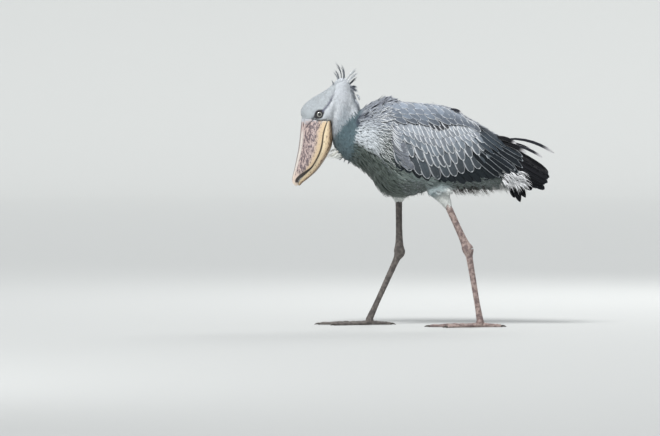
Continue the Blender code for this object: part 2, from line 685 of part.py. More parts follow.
def tail_feather(share, roots, tips, width, side, surface):
    """One feather of a fan, turned to lie along it. The left one of the middle pair lies on the right one."""
    root, tip, ahead, behind = (
        Vector(spline_row(np.array(rows, float), min(max(at, 0), 1) * (len(rows) - 1)))
        for rows, at in ((roots, share), (tips, share), (tips, share + 0.05), (tips, share - 0.05))
    )
    heading = (tip - root).normalized()
    normal = heading.cross(ahead - behind).normalized()
    across = normal.cross(heading).normalized()
    edges, normals = [], []
    for along, wide in TAIL_FEATHER_SHAPE:
        middle = root.lerp(tip, along) + Vector((0, 0, TAIL_STAGGER if side == LEFT else 0))
        half = across * wide * width / 2
        lean = normal * TAIL_ROLL * wide
        edges.append([Vector((p.x, side * p.y, p.z)) for p in (middle + half - lean, middle - half + lean)])
        normals.append(Vector((normal.x, side * normal.y, normal.z)))
    return vane("tail_feather", edges, normals, surface)


def make_leg(body, side, plumage, scales, horn):
    name = SIDE_NAMES[side]
    hip, feathers_end, ankle, foot = (Vector((x, 0, z)) for x, z in LEGS[side])
    hip.y, feathers_end.y, ankle.y, foot.y = (side * y for y in (HIP_Y, SHANK_Y, ANKLE_Y, FOOT_Y))
    step = (ankle - feathers_end).normalized()
    down = (foot - ankle).normalized()
    path = [hip.lerp(feathers_end, share) for share in THIGH_PLACES]
    sizes = [(radius * THIGH_FLATNESS, radius) for radius in THIGH_RADII[side]]
    thigh = tube(f"thigh_{name}", path, sizes, THIGH_SIDES, plumage, last=step)
    clear_of_torso(body, thigh)
    clear_of_wing(body, side, thigh)
    keep_largest(thigh)

    path = [feathers_end + step * GAP]
    path += [feathers_end.lerp(ankle, share) for share in SHANK_PLACES]
    path.append(ankle + down * ANKLE_DROP)
    tube(f"shank_{name}", path, SHANK_SIZES, SHANK_SIDES, scales, first=step, last=down)

    start = path[-1]
    lower = foot - down * FOOT_RISE
    path = [start + down * GAP] + [start.lerp(lower, share) for share in TARSUS_PLACES]
    tube(f"tarsus_{name}", path, TARSUS_SIZES, SHANK_SIDES, scales, first=down, last=down)
    make_foot(name, side, foot, lower + down * GAP, down, scales, horn)


def make_foot(name, side, joint, top, down, scales, horn):
    """The joint above the toes with four toes laid flat on the ground, each ending in its claw."""
    centre = Vector((joint.x, joint.y, 0))
    path = [top, joint.lerp(centre, 0.3), centre - Vector((0, 0, FOOT_SINK))]
    foot = tube(f"foot_{name}", path, FOOT_SIZES, FOOT_SIDES, scales, first=down, last=Vector((0, 0, -1)))
    stubs = []
    for toe, bearing, length in TOES:
        heading = math.radians(180 - side * bearing)
        ahead = Vector((math.cos(heading), math.sin(heading), 0))
        path, sizes = [], []
        for share, fat in TOE_SHAPE:
            radius = TOE_RADIUS * fat
            reach = PAD_REACH + GAP + share * (length - PAD_REACH)
            path.append(centre + ahead * reach + Vector((0, 0, radius * TOE_LIFT)))
            sizes.append((radius, radius))
        tube(f"toe_{toe}_{name}", path, sizes, TOE_SIDES, scales, floor=0.0, first=ahead, last=ahead)
        end = path[-1] + ahead * GAP
        path = [end + ahead * CLAW_LENGTH * share + Vector((0, 0, rise)) for share, rise, _, _ in CLAW_SHAPE]
        sizes = [(wide, tall) for _, _, wide, tall in CLAW_SHAPE]
        tube(f"claw_{toe}_{name}", path, sizes, CLAW_SIDES, horn, floor=0.0, first=ahead)
        path = [centre + Vector((0, 0, STUB_HEIGHT))]
        path.append(centre + ahead * PAD_REACH + Vector((0, 0, TOE_RADIUS * TOE_LIFT)))
        sizes = (STUB_SIZE, (TOE_RADIUS, TOE_RADIUS))
        stubs.append(tube("stub", path, sizes, FOOT_SIDES, scales, last=ahead))
    fuse(foot, stubs)
    bpy.ops.mesh.primitive_cube_add(size=1, location=(centre.x, centre.y, -0.5))
    boolean(foot, "DIFFERENCE", bpy.context.object)


def stand_on_origin():
    """Sets the model on the ground with its middle over the origin."""
    bpy.context.view_layer.update()
    corners = np.array([vertex.co for thing in bpy.data.objects for vertex in thing.data.vertices])
    low, high = corners.min(axis=0), corners.max(axis=0)
    move = Vector((-(low[0] + high[0]) / 2, -(low[1] + high[1]) / 2, -low[2]))
    for thing in bpy.data.objects:
        for vertex in thing.data.vertices:
            vertex.co += move


def main():
    clear_scene()
    plumage = material("grey_plumage", (0.33, 0.36, 0.40), 0.8)
    slate = material("slate_feathers", (0.05, 0.06, 0.07), 0.7)
    bill = material("bill_horn", (0.62, 0.45, 0.32), 0.5)
    scales = material("leg_scales", (0.28, 0.26, 0.24), 0.7)
    horn = material("claw_horn", (0.06, 0.05, 0.05), 0.4)
    eye = material("eye", (0.75, 0.72, 0.60), 0.1)
    body = Loft(BODY_STATIONS)
    make_head(body, plumage, eye)
    make_bill(body, bill)
    body.solid("neck", HEAD_END, NECK_END, NECK_RINGS, NECK_SEGMENTS, plumage)
    make_torso(body, plumage)
    make_tail(body, slate)
    for side in (LEFT, RIGHT):
        make_wing(body, side, plumage)
        make_leg(body, side, plumage, scales, horn)
    stand_on_origin()


main()
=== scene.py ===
# %% [markdown]
# A shoebill, life size
#
# A shoebill is a tall grey wading bird with a bill like a wooden shoe. This lesson dresses a plain solid model
# of one, bit by bit: skin, small feathers, long feathers, bill, eyes and legs. The solid model comes first,
# because it fixes every place and size.

import math

import bpy
import numpy as np
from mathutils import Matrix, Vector
from mathutils.kdtree import KDTree


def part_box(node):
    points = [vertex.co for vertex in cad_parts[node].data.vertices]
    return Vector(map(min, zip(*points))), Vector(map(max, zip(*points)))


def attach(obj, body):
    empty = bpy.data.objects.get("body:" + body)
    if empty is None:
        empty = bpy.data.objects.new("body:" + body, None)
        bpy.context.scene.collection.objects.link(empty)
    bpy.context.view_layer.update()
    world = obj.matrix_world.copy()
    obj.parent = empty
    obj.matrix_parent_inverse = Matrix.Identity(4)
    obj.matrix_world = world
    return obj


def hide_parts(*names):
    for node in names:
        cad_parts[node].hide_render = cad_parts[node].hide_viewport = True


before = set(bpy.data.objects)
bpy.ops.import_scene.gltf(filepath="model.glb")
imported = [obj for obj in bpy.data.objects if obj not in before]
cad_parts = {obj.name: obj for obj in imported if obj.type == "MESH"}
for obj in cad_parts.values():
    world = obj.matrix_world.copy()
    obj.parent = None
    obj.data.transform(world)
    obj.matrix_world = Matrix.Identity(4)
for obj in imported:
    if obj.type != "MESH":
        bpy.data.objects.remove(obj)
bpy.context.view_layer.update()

# %% [markdown]
# The drawing and the floor
#
# The bird is drawn from its left side, with x towards the tail and z up. The solid model was then moved so
# that its middle stands over the origin. The left eye is a ball, so the middle of its box tells how far.

# %% Where the drawing lies in the model
LEFT, RIGHT = -1, 1
SIDES = {LEFT: "left", RIGHT: "right"}
EYE_DRAWN = (-0.321, 0.667)


def middle_of(node):
    low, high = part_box(node)
    return np.array((low + high) / 2)


EYE_MIDDLE = {side: middle_of(f"eye_{name}") for side, name in SIDES.items()}
SHIFT = np.array([EYE_MIDDLE[LEFT][0] - EYE_DRAWN[0], 0.0, EYE_MIDDLE[LEFT][2] - EYE_DRAWN[1]])
print("the drawing is moved by", SHIFT.round(4))

# %% [markdown]
# The form of the body
#
# A bird's feathers hide its real body, so its outline is the outline of its coat. Rings in planes across the
# middle plane give that outline: they fan over the crown, run down the neck and then along the trunk. A ring is
# one row of numbers, and a smooth curve through the rows gives every ring between them. The same rule gives
# places on the surface, so that feathers can be laid on it anywhere.

# %% Rings of the body
# Each row: x and z of the back, x and z of the belly, the half width, and the lean of the widest place downwards.
BODY_RINGS = np.array([
    (-0.376, 0.654, -0.2830, 0.6440, 0.0460, 0.45),
    (-0.380, 0.677, -0.2829, 0.6441, 0.0480, 0.45),
    (-0.369, 0.698, -0.2828, 0.6442, 0.0500, 0.45),
    (-0.347, 0.717, -0.2826, 0.6442, 0.0520, 0.42),
    (-0.318, 0.734, -0.2820, 0.6440, 0.0530, 0.40),
    (-0.290, 0.751, -0.2800, 0.6430, 0.0530, 0.38),
    (-0.261, 0.775, -0.2835, 0.6415, 0.0510, 0.36),
    (-0.239, 0.778, -0.2835, 0.6390, 0.0500, 0.34),
    (-0.224, 0.762, -0.2830, 0.6300, 0.0500, 0.30),
    (-0.213, 0.740, -0.2820, 0.6100, 0.0500, 0.24),
    (-0.207, 0.724, -0.2790, 0.5860, 0.0490, 0.18),
    (-0.199, 0.704, -0.2690, 0.5580, 0.0500, 0.12),
    (-0.192, 0.686, -0.2480, 0.5320, 0.0550, 0.08),
    (-0.176, 0.693, -0.2170, 0.5120, 0.0680, 0.05),
    (-0.148, 0.706, -0.1640, 0.4730, 0.0840, 0.0),
    (-0.110, 0.718, -0.1200, 0.4220, 0.0960, 0.0),
    (-0.057, 0.706, -0.0660, 0.4090, 0.1020, 0.0),
    (0.013, 0.698, 0.0030, 0.4220, 0.1020, 0.0),
    (0.082, 0.687, 0.0790, 0.4330, 0.0950, 0.0),
    (0.142, 0.657, 0.1480, 0.4330, 0.0800, 0.0),
    (0.202, 0.621, 0.2110, 0.4320, 0.0600, 0.0),
    (0.249, 0.588, 0.2580, 0.4360, 0.0450, 0.0),
    (0.274, 0.569, 0.2830, 0.4420, 0.0410, 0.0),
    (0.312, 0.546, 0.3180, 0.4360, 0.0400, 0.0),
    (0.350, 0.518, 0.3560, 0.4320, 0.0380, 0.0),
    (0.384, 0.493, 0.3870, 0.4320, 0.0340, 0.0),
])
HEAD_END, NECK_END, TRUNK_END, LAST_RING = 9, 12, 22, 25


def between(rows, s):
    """The rows of numbers at places s along a smooth curve through them."""
    rows = np.asarray(rows, float)
    last = len(rows) - 1
    s = np.clip(np.asarray(s, float), 0, last)
    i = np.minimum(s.astype(int), last - 1)
    t = (s - i)[..., None]
    padded = np.vstack([2 * rows[0] - rows[1], rows, 2 * rows[-1] - rows[-2]])
    p0, p1, p2, p3 = (padded[i + k] for k in range(4))
    square, cube = 2 * p0 - 5 * p1 + 4 * p2 - p3, 3 * p1 - p0 - 3 * p2 + p3
    return 0.5 * (2 * p1 + (p2 - p0) * t + square * t**2 + cube * t**3)


def ring_frame(s):
    """Each ring's middle, its half height as an arrow, its half width and its lean."""
    row = between(BODY_RINGS, s)
    flat = np.zeros(row.shape[:-1])
    back = np.stack([row[..., 0], flat, row[..., 1]], axis=-1)
    belly = np.stack([row[..., 2], flat, row[..., 3]], axis=-1)
    return (back + belly) / 2, (back - belly) / 2, row[..., 4], row[..., 5]


def on_body(s, angle, lift=0.0):
    """Places on the coat: angle 0 is the back and 90 degrees the right side."""
    middle, up, half_width, lean = ring_frame(s)
    tall = np.linalg.norm(up, axis=-1)
    rise, out = np.cos(angle), np.sin(angle)
    place = middle + up * ((tall + lift) / tall * rise)[..., None]
    place[..., 1] += (half_width * (1 - lean * rise) + lift) * out
    return place + SHIFT


def on_flank(x, z, side, lift, first=NECK_END, last=LAST_RING):
    """Places on one side of the coat seen at x, z of the drawing, raised by lift, and the way it faces there."""
    low, high = np.full(x.shape, float(first)), np.full(x.shape, float(last))
    for _ in range(26):
        s = (low + high) / 2
        middle, up, half_width, lean = ring_frame(s)
        ahead = (x - middle[..., 0]) * up[..., 2] - (z - middle[..., 2]) * up[..., 0] > 0
        low, high = np.where(ahead, s, low), np.where(ahead, high, s)
    tall = np.linalg.norm(up, axis=-1)
    share = ((x - middle[..., 0]) * up[..., 0] + (z - middle[..., 2]) * up[..., 2]) / tall**2
    share = np.clip(share, -0.97, 0.97)
    out = np.sqrt(1 - share**2)
    wide = half_width * (1 - lean * share)
    facing = up * (share / tall**2)[..., None]
    facing[..., 1] += side * out / wide
    facing /= np.linalg.norm(facing, axis=-1)[..., None]
    place = np.stack([x, side * wide * out, z], axis=-1)
    return place + facing * np.asarray(lift)[..., None] + SHIFT, facing


def step(value, start, end):
    """0 before start, 1 after end and a smooth rise between."""
    t = np.clip((value - start) / (end - start), 0, 1)
    return t * t * (3 - 2 * t)


print("length of the coat along the back:", round(float(np.ptp(BODY_RINGS[:, 0])), 3), "m")

# %% [markdown]
# Building blocks
#
# Every piece is a mesh made from plain arrays of points and faces. Its place is in its mesh, and its object stays
# at the origin. Two values travel with each feather: "vane" says how far across and along it a point lies, and
# "tint" is the colour of its middle. The finishes read both.

# %% Meshes from arrays
def object_from(name, points, faces, finish=None, corner_maps=(), tints=None, smooth=True):
    """A mesh object. Corner maps are named pairs of numbers for each point, laid on as UV maps."""
    mesh = bpy.data.meshes.new(name)
    mesh.from_pydata(np.asarray(points).tolist(), [], faces)
    corners = np.empty(len(mesh.loops), np.int32)
    mesh.loops.foreach_get("vertex_index", corners)
    for map_name, values in dict(corner_maps).items():
        layer = mesh.uv_layers.new(name=map_name)
        layer.data.foreach_set("uv", np.asarray(values, np.float32)[corners].ravel())
    if tints is not None:
        colour = mesh.color_attributes.new("tint", "FLOAT_COLOR", "POINT")
        full = np.ones((len(points), 4), np.float32)
        full[:, :3] = tints
        colour.data.foreach_set("color", full.ravel())
    if smooth:
        mesh.shade_smooth()
    if finish is not None:
        mesh.materials.append(finish)
    made = bpy.data.objects.new(name, mesh)
    bpy.context.scene.collection.objects.link(made)
    return made


def ring_faces(rings, count, first=0, closed_ends=True):
    """Faces of a tube through rings of equally many points."""
    faces = []
    for i in range(rings - 1):
        for k in range(count):
            a, b = first + i * count + k, first + i * count + (k + 1) % count
            faces.append((a, b, b + count, a + count))
    if closed_ends:
        last = first + (rings - 1) * count
        faces += [tuple(range(first + count - 1, first - 1, -1)), tuple(range(last, last + count))]
    return faces


def tube_points(path, half_widths, half_depths, sides):
    """Points of a tube round a path, ring after ring. Depth lies in the plane of the path and the upright."""
    path = np.asarray(path, float)
    ahead = np.gradient(path, axis=0)
    ahead /= np.linalg.norm(ahead, axis=1)[:, None]
    across = np.cross(ahead, [0, 0, 1.0])
    upright = np.linalg.norm(across, axis=1) < 0.3
    across[upright] = (0, 1, 0)
    across -= ahead * (across * ahead).sum(axis=1)[:, None]
    across /= np.linalg.norm(across, axis=1)[:, None]
    rise = np.cross(across, ahead)
    angle = 2 * np.pi * np.arange(sides) / sides
    wide = across[:, None] * (np.asarray(half_widths)[:, None] * np.cos(angle))[..., None]
    deep = rise[:, None] * (np.asarray(half_depths)[:, None] * np.sin(angle))[..., None]
    return (path[:, None] + wide + deep).reshape(-1, 3)


def finished(piece, *nodes, slot="grey_plumage"):
    """Ties a piece to the model, which stands still and so has one body."""
    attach(piece, "root")
    if nodes:
        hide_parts(*nodes)
    piece.data.calc_loop_triangles()
    print(f"{piece.name}: {len(piece.data.loop_triangles)} triangles")
    return piece


# %% [markdown]
# The finish of a feather
#
# A feather is a shaft with barbs that run out from it at a slant, like the strokes of a comb. It is darkest
# where its neighbours shade it, near its root, and a shoebill's are edged with a thin pale fringe. All of that
# follows the feather, so the finish reads how far across and along the feather a point lies. A picture could
# carry the same pattern, but a rule stays sharp at any size and suits thousands of feathers.

# %% Helpers for finishes
def shade(*rgb):
    """A colour given as it looks on a screen, from 0 to 255, in the linear numbers that light adds up in."""
    share = np.array(rgb) / 255
    return np.where(share <= 0.04045, share / 12.92, ((share + 0.055) / 1.055) ** 2.4)


def add(tree, kind, inputs=(), **settings):
    """A node with its settings. Each input is fed by another node's output or set to a plain value."""
    made = tree.nodes.new(kind)
    for name, value in settings.items():
        setattr(made, name, value)
    for name, value in dict(inputs).items():
        if isinstance(value, bpy.types.NodeSocket):
            tree.links.new(value, made.inputs[name])
        else:
            made.inputs[name].default_value = value
    return made


def calc(tree, operation, *values):
    """The result of one sum."""
    return add(tree, "ShaderNodeMath", dict(enumerate(values)), operation=operation).outputs[0]


def ramp(tree, value, start, end, low=0.0, high=1.0):
    """A smooth rise from low to high as the value goes from start to end."""
    inputs = {"Value": value, "From Min": start, "From Max": end, "To Min": low, "To Max": high}
    return add(tree, "ShaderNodeMapRange", inputs, interpolation_type="SMOOTHSTEP").outputs["Result"]


def mix(tree, factor, first, second, blend="MIX"):
    """Two colours mixed. A plain colour may be given as three numbers."""
    made = add(tree, "ShaderNodeMix", {0: factor}, data_type="RGBA", blend_type=blend)
    for socket, value in ((made.inputs[6], first), (made.inputs[7], second)):
        if isinstance(value, bpy.types.NodeSocket):
            tree.links.new(value, socket)
        else:
            socket.default_value = (*value, 1.0)
    return made.outputs[2]


def noise(tree, scale, detail=3.0, place=None, roughness=0.5):
    """Soft random patches, in steps of one over scale metres."""
    place = place or add(tree, "ShaderNodeTexCoord").outputs["Object"]
    inputs = {"Vector": place, "Scale": scale, "Detail": detail, "Roughness": roughness}
    return add(tree, "ShaderNodeTexNoise", inputs).outputs["Fac"]


def bump(tree, height, distance, strength=1.0, under=None):
    """Small relief. Under is another relief that it adds to."""
    inputs = {"Height": height, "Distance": distance, "Strength": strength}
    if under is not None:
        inputs["Normal"] = under
    return add(tree, "ShaderNodeBump", inputs).outputs["Normal"]


def finish_named(name, roughness, sheen=0.0, coat=0.0):
    """A new finish: its tree and its shader. What is even all over is set on the shader itself."""
    made = bpy.data.materials.new(name)
    made.use_nodes = True
    shader = made.node_tree.nodes["Principled BSDF"]
    shader.inputs["Roughness"].default_value = roughness
    shader.inputs["Sheen Weight"].default_value = sheen
    shader.inputs["Coat Weight"].default_value = coat
    return made, made.node_tree, shader


# %% The feather finish
def feather_finish(name, fringe, fringe_width=0.16, fringe_strength=0.8, tip_width=0.05, barbs=34, root=0.55,
                   sheen=0.25, comb_strength=0.07):
    """A feather whose middle has its own tint and whose edge has the fringe's colour."""
    made, tree, shader = finish_named(name, 0.72, sheen)
    vane = add(tree, "ShaderNodeAttribute", attribute_name="vane").outputs["Vector"]
    tint = add(tree, "ShaderNodeAttribute", attribute_name="tint").outputs["Color"]
    across, along, _ = add(tree, "ShaderNodeSeparateXYZ", {0: vane}).outputs
    edge = calc(tree, "ABSOLUTE", calc(tree, "MULTIPLY_ADD", across, 2.0, -1.0))
    patches = noise(tree, 140.0)
    ragged = calc(tree, "MULTIPLY_ADD", patches, 0.10, edge)
    side = ramp(tree, ragged, 1.04 - fringe_width, 1.04 - fringe_width * 0.35)
    tip = ramp(tree, along, 1.0 - tip_width * 2, 1.0 - tip_width * 0.5)
    rim = calc(tree, "MULTIPLY", calc(tree, "MAXIMUM", side, tip), fringe_strength)
    comb = calc(tree, "SINE", calc(tree, "MULTIPLY", calc(tree, "SUBTRACT", along, calc(
        tree, "MULTIPLY", edge, 0.16)), barbs * 2 * math.pi))
    shaft = ramp(tree, edge, 0.02, 0.10, 1.0, 0.0)
    light = calc(tree, "MULTIPLY", ramp(tree, along, 0.0, 0.45, root, 1.0), ramp(tree, patches, 0.2, 0.8, 0.86, 1.12))
    light = calc(tree, "MULTIPLY", light, calc(tree, "MULTIPLY_ADD", comb, comb_strength, 1.0))
    light = calc(tree, "MULTIPLY", light, calc(tree, "MULTIPLY_ADD", shaft, -0.22, 1.0))
    middle = mix(tree, 1.0, tint, add(tree, "ShaderNodeCombineColor", {0: light, 1: light, 2: light}).outputs[0],
                 "MULTIPLY")
    tree.links.new(mix(tree, rim, middle, fringe), shader.inputs["Base Color"])
    relief = bump(tree, comb, 0.00006)
    tree.links.new(bump(tree, shaft, 0.0004, under=relief), shader.inputs["Normal"])
    return made


def dull(made):
    """The same finish, mirroring little light, as dark feathers do."""
    made.node_tree.nodes["Principled BSDF"].inputs["Specular IOR Level"].default_value = 0.2
    return made


PALE = shade(232, 236, 242)
covert_finish = feather_finish("pale_fringed_feather", PALE, 0.30, 0.95, 0.030, barbs=26, comb_strength=0.10)
plain_finish = feather_finish("soft_grey_feather", shade(196, 200, 207), 0.30, 0.42, 0.08, barbs=16, root=0.62)
plume_finish = feather_finish("white_edged_plume", shade(246, 249, 250), 0.42, 0.95, 0.10, barbs=14, root=0.22)
# The breast's plumes have dull greenish fringes: painted shade with a greenish painted reflection.
shaded_breast_finish = feather_finish("shaded_greenish_plume", shade(112, 124, 114), 0.36, 0.9, 0.10, barbs=14, root=0.15)
streaked_finish = feather_finish("streaked_plume", shade(178, 187, 180), 0.34, 0.9, 0.10, barbs=14, root=0.12)
lesser_finish = feather_finish("pale_lesser_covert", shade(246, 249, 253), 0.46, 0.95, 0.05, barbs=20, root=0.3)
# The neck's fringes are darkened to suit the shade painted on the neck.
shaded_neck_finish = feather_finish("shaded_blue_grey_feather", shade(112, 132, 142), 0.30, 0.3, 0.08, barbs=16, root=0.7)
flight_finish = dull(feather_finish("flight_feather", shade(92, 100, 110), 0.10, 0.5, 0.010, barbs=90, root=0.8,
                                    sheen=0.0))
down_finish = feather_finish("white_down", shade(250, 250, 252), 0.5, 0.5, 0.2, barbs=8, root=0.95, sheen=0.5)
soft_finish = feather_finish("pale_soft_feather", shade(246, 249, 252), 0.5, 0.5, 0.2, barbs=8, root=0.92)
smooth_finish = feather_finish("smooth_plume", shade(238, 243, 246), 0.42, 0.7, 0.10, barbs=14, root=0.80)
tertial_finish = dull(feather_finish("tertial", shade(206, 212, 219), 0.22, 0.8, 0.020, barbs=60, root=0.5,
                                     sheen=0.0))
print("feather finishes:", [m.name for m in bpy.data.materials if m.users == 0 or m.use_nodes])

# %% [markdown]
# The skin
#
# Under the feathers lies one skin, a few millimetres inside the outline, from the bill to the tail and down both
# thighs. The trunk and the thighs are made as closed tubes that run into each other. A voxel remesh turns them
# into one even surface with no seam, and a little smoothing softens the places where they meet. The skin then
# gets the folds of the head: the brow, the step behind the crown and the hollow round the eye.

# %% The skin's form
LEGS = {
    LEFT: ((0.030, 0.480), (0.083, 0.381), (0.147, 0.240), (0.184, 0.020)),
    RIGHT: ((-0.069, 0.470), (-0.069, 0.393), (-0.067, 0.228), (-0.161, 0.020)),
}
HIP_Y, SHANK_Y, ANKLE_Y, FOOT_Y = 0.050, 0.060, 0.066, 0.078
THIGH_PLACES = (0.0, 0.45, 0.8, 1.0)
THIGH_RADII = {LEFT: (0.038, 0.033, 0.0175, 0.0105), RIGHT: (0.042, 0.039, 0.0215, 0.0105)}
THIGH_FLATNESS = 0.7
# How deep the skin lies below the outline, along the rings.
COAT_DEPTH = ((0, 0.0016), (6, 0.0024), (12, 0.0040), (22, 0.0050), (25, 0.0120))
VOXEL = 0.0030


def leg_points(side):
    """Hip, end of the thigh's feathers, ankle and the joint above the toes."""
    widths = (HIP_Y, SHANK_Y, ANKLE_Y, FOOT_Y)
    return [np.array((x, side * y, z)) + SHIFT for (x, z), y in zip(LEGS[side], widths)]


def coat_depth(s):
    places, depths = zip(*COAT_DEPTH)
    return np.interp(s, places, depths)


def make_skin():
    s, angle = np.meshgrid(np.linspace(0, LAST_RING, 130), np.arange(72) * 2 * np.pi / 72, indexing="ij")
    points = on_body(s, angle, -coat_depth(s)).reshape(-1, 3)
    faces = ring_faces(130, 72)
    for side in SIDES:
        hip, end, ankle, _ = leg_points(side)
        path = [hip + (end - hip) * share for share in np.linspace(0, 1, 20)]
        path += [end + (ankle - end) * 0.04]
        radii = np.interp(np.linspace(0, 1, 20), THIGH_PLACES, THIGH_RADII[side])
        radii = np.append(radii, radii[-1] * 0.9)
        faces += ring_faces(21, 24, first=len(points))
        points = np.vstack([points, tube_points(path, radii * THIGH_FLATNESS, radii, 24)])
    skin = object_from("skin", points, faces)
    merge = skin.modifiers.new("merge", "REMESH")
    merge.mode, merge.voxel_size = "VOXEL", VOXEL
    soften = skin.modifiers.new("soften", "SMOOTH")
    soften.factor, soften.iterations = 0.5, 4
    return skin


def apply_modifiers(piece):
    """Turns what a piece's modifiers make into its plain mesh."""
    graph = bpy.context.evaluated_depsgraph_get()
    mesh = bpy.data.meshes.new_from_object(piece.evaluated_get(graph))
    piece.modifiers.clear()
    piece.data = mesh
    return piece


def points_of(mesh):
    flat = np.empty(len(mesh.vertices) * 3, np.float32)
    mesh.vertices.foreach_get("co", flat)
    return flat.reshape(-1, 3).astype(float)


def tuck_thighs(piece):
    """Keeps the thighs inside the flank where the folded wing lies over them."""
    points = points_of(piece.data)
    x, z = points[:, 0] - SHIFT[0], points[:, 2] - SHIFT[2]
    for side in SIDES:
        flank, _ = on_flank(x, z, side, np.full(len(x), -0.0030))
        over = step(z, *WING_HIDES) * (points[:, 1] * side > 0.03) * (x > -0.10) * (x < 0.20)
        inside = np.minimum(points[:, 1] * side, flank[:, 1] * side) * side
        points[:, 1] += (inside - points[:, 1]) * over
    piece.data.vertices.foreach_set("co", points.astype(np.float32).ravel())
    piece.data.update()


WING_HIDES = (0.424, 0.462)
skin = apply_modifiers(make_skin())
tuck_thighs(skin)
skin.data.shade_smooth()
print("skin:", len(skin.data.polygons), "faces")

# %% Where each point of the skin lies on the body
MAP_RINGS, MAP_SEGMENTS = 220, 120


def nearest_rings(points):
    """The place along the rings and the angle of the nearest spot of the coat, and how far off it is."""
    s, angle = np.meshgrid(np.linspace(0, LAST_RING, MAP_RINGS),
                           np.linspace(-np.pi, np.pi, MAP_SEGMENTS, endpoint=False), indexing="ij")
    spots = on_body(s, angle, -coat_depth(s)).reshape(-1, 3)
    tree = KDTree(len(spots))
    for i, spot in enumerate(spots):
        tree.insert(spot, i)
    tree.balance()
    found = [tree.find(point) for point in points]
    index = np.array([i for _, i, _ in found])
    far = np.array([distance for _, _, distance in found])
    return s.ravel()[index], angle.ravel()[index], far


skin_points = points_of(skin.data)
skin_s, skin_angle, off_body = nearest_rings(skin_points)
around = np.abs(skin_angle)
drawn_x, drawn_z = skin_points[:, 0] - SHIFT[0], skin_points[:, 2] - SHIFT[2]
side_of = np.sign(skin_points[:, 1])
is_thigh = step(off_body, 0.004, 0.014)
print("skin points on the thighs:", int(is_thigh.sum()))


# %% Folds of the head
def distance_to_line(x, z, start, end):
    """How far a place lies from a stretch of line, and its share along it."""
    line = np.subtract(end, start)
    share = np.clip(((x - start[0]) * line[0] + (z - start[1]) * line[1]) / (line @ line), 0, 1)
    return np.hypot(x - start[0] - share * line[0], z - start[1] - share * line[1]), share


# The fold that parts the smooth crown from the cheek, and the dark crease from the eye down to the nostril.
CROWN_FOLD = ((-0.308, 0.673), (-0.2945, 0.691), (-0.2844, 0.709), (-0.2775, 0.724), (-0.271, 0.752))
LORE_CREASE = ((-0.333, 0.662), (-0.356, 0.634))
GAPE_CREASE = ((-0.337, 0.649), (-0.312, 0.6475), (-0.297, 0.651))
# The shaded fold where the neck meets the shoulder, and the pale band from the breast to the thigh.
SHOULDER_FOLD = ((-0.204, 0.634), (-0.204, 0.657), (-0.176, 0.662))
FLANK_BAND = ((-0.076, 0.484), (-0.035, 0.473), (0.013, 0.460), (0.050, 0.445), (0.085, 0.424))
STREAKED_BREAST = ((-0.104, 0.520), (-0.058, 0.468))


def distance_to_path(x, z, path):
    """How far a place lies from a line with corners."""
    return np.minimum.reduce([distance_to_line(x, z, *ends)[0] for ends in zip(path, path[1:])])


def height_over_fold(x, z):
    """How far a place lies above the crown's fold, in metres; negative below and behind it."""
    best = np.full(x.shape, 1.0)
    above = np.zeros(x.shape)
    for start, end in zip(CROWN_FOLD, CROWN_FOLD[1:]):
        far, _ = distance_to_line(x, z, start, end)
        line = np.subtract(end, start)
        side = np.sign((z - start[1]) * line[0] - (x - start[0]) * line[1])
        above = np.where(far < best, far * side, above)
        best = np.minimum(far, best)
    return above


over_fold = height_over_fold(drawn_x, drawn_z)
from_eye = np.hypot(drawn_x - EYE_DRAWN[0], drawn_z - EYE_DRAWN[1])
lore_far, _ = distance_to_line(drawn_x, drawn_z, *LORE_CREASE)
gape_far = distance_to_path(drawn_x, drawn_z, GAPE_CREASE)
on_head = 1 - step(skin_s, 8.0, 9.5)
on_side = step(around, 0.5, 0.9)
is_crown = on_head * np.where(on_side > 0, step(over_fold, -0.0015, 0.0015), 1.0) * (1 - step(skin_s, 6.6, 7.4))
rise = 0.0016 * is_crown * np.exp(-np.maximum(over_fold, 0) / 0.018)
rise = rise - 0.0030 * on_head * on_side * np.exp(-(from_eye / 0.013) ** 2)
rise = rise + 0.0022 * on_head * on_side * np.exp(-((from_eye - 0.019) / 0.005) ** 2) * step(drawn_z, 0.668, 0.676)
rise = rise - 0.0016 * on_head * on_side * np.exp(-(lore_far / 0.003) ** 2)
rise = rise - 0.0014 * on_head * on_side * np.exp(-(gape_far / 0.0025) ** 2)
normals = np.empty(len(skin_points) * 3, np.float32)
skin.data.vertices.foreach_get("normal", normals)
skin_points = skin_points + normals.reshape(-1, 3) * rise[:, None]
skin.data.vertices.foreach_set("co", skin_points.astype(np.float32).ravel())
skin.data.update()
print("folds reach from", round(rise.min() * 1000, 1), "to", round(rise.max() * 1000, 1), "mm")

# %% [markdown]
# Markings
#
# The skin and the feathers carry the same markings, so the colour of each place is worked out once, on the skin,
# and each feather takes the colour of its root. A shoebill is blue-grey all over: palest on the cheeks and the
# crest, lavender on the crown and the back, white under the tail. The bare skin round the eye is nearly black.
# Some layers are painted shade laid over these colours: on the throat, on the neck under the head, on the breast
# and the belly, along the crown's fold, in the fold where the neck meets the shoulder and in the hollow under
# the shoulder's hump. The breast and the belly also carry a greenish painted reflection.

# %% Colours of the coat
CROWN, CHEEK, NAPE = shade(191, 198, 202), shade(231, 236, 241), shade(156, 166, 176)
# The throat's pale grey is darkened by painted shade on the lower side of the head, and the neck's own darker grey is
# deepened by the head's painted shadow. The breast's grey is darkened by painted shade beneath the body and has a
# greenish painted reflection.
SHADED_THROAT, SHADED_NECK, SHADED_BREAST = shade(166, 177, 186), shade(74, 96, 103), shade(47, 57, 50)
# Two of these are painted shadows: a dark blue for the fold where the neck meets the shoulder, and a dusky lavender for
# the hollow under the shoulder's hump. The shoulder's pale grey is its own.
NECK_FOLD_SHADOW, SHOULDER, HOLLOW_SHADE = shade(30, 38, 56), shade(208, 215, 221), shade(58, 58, 74)
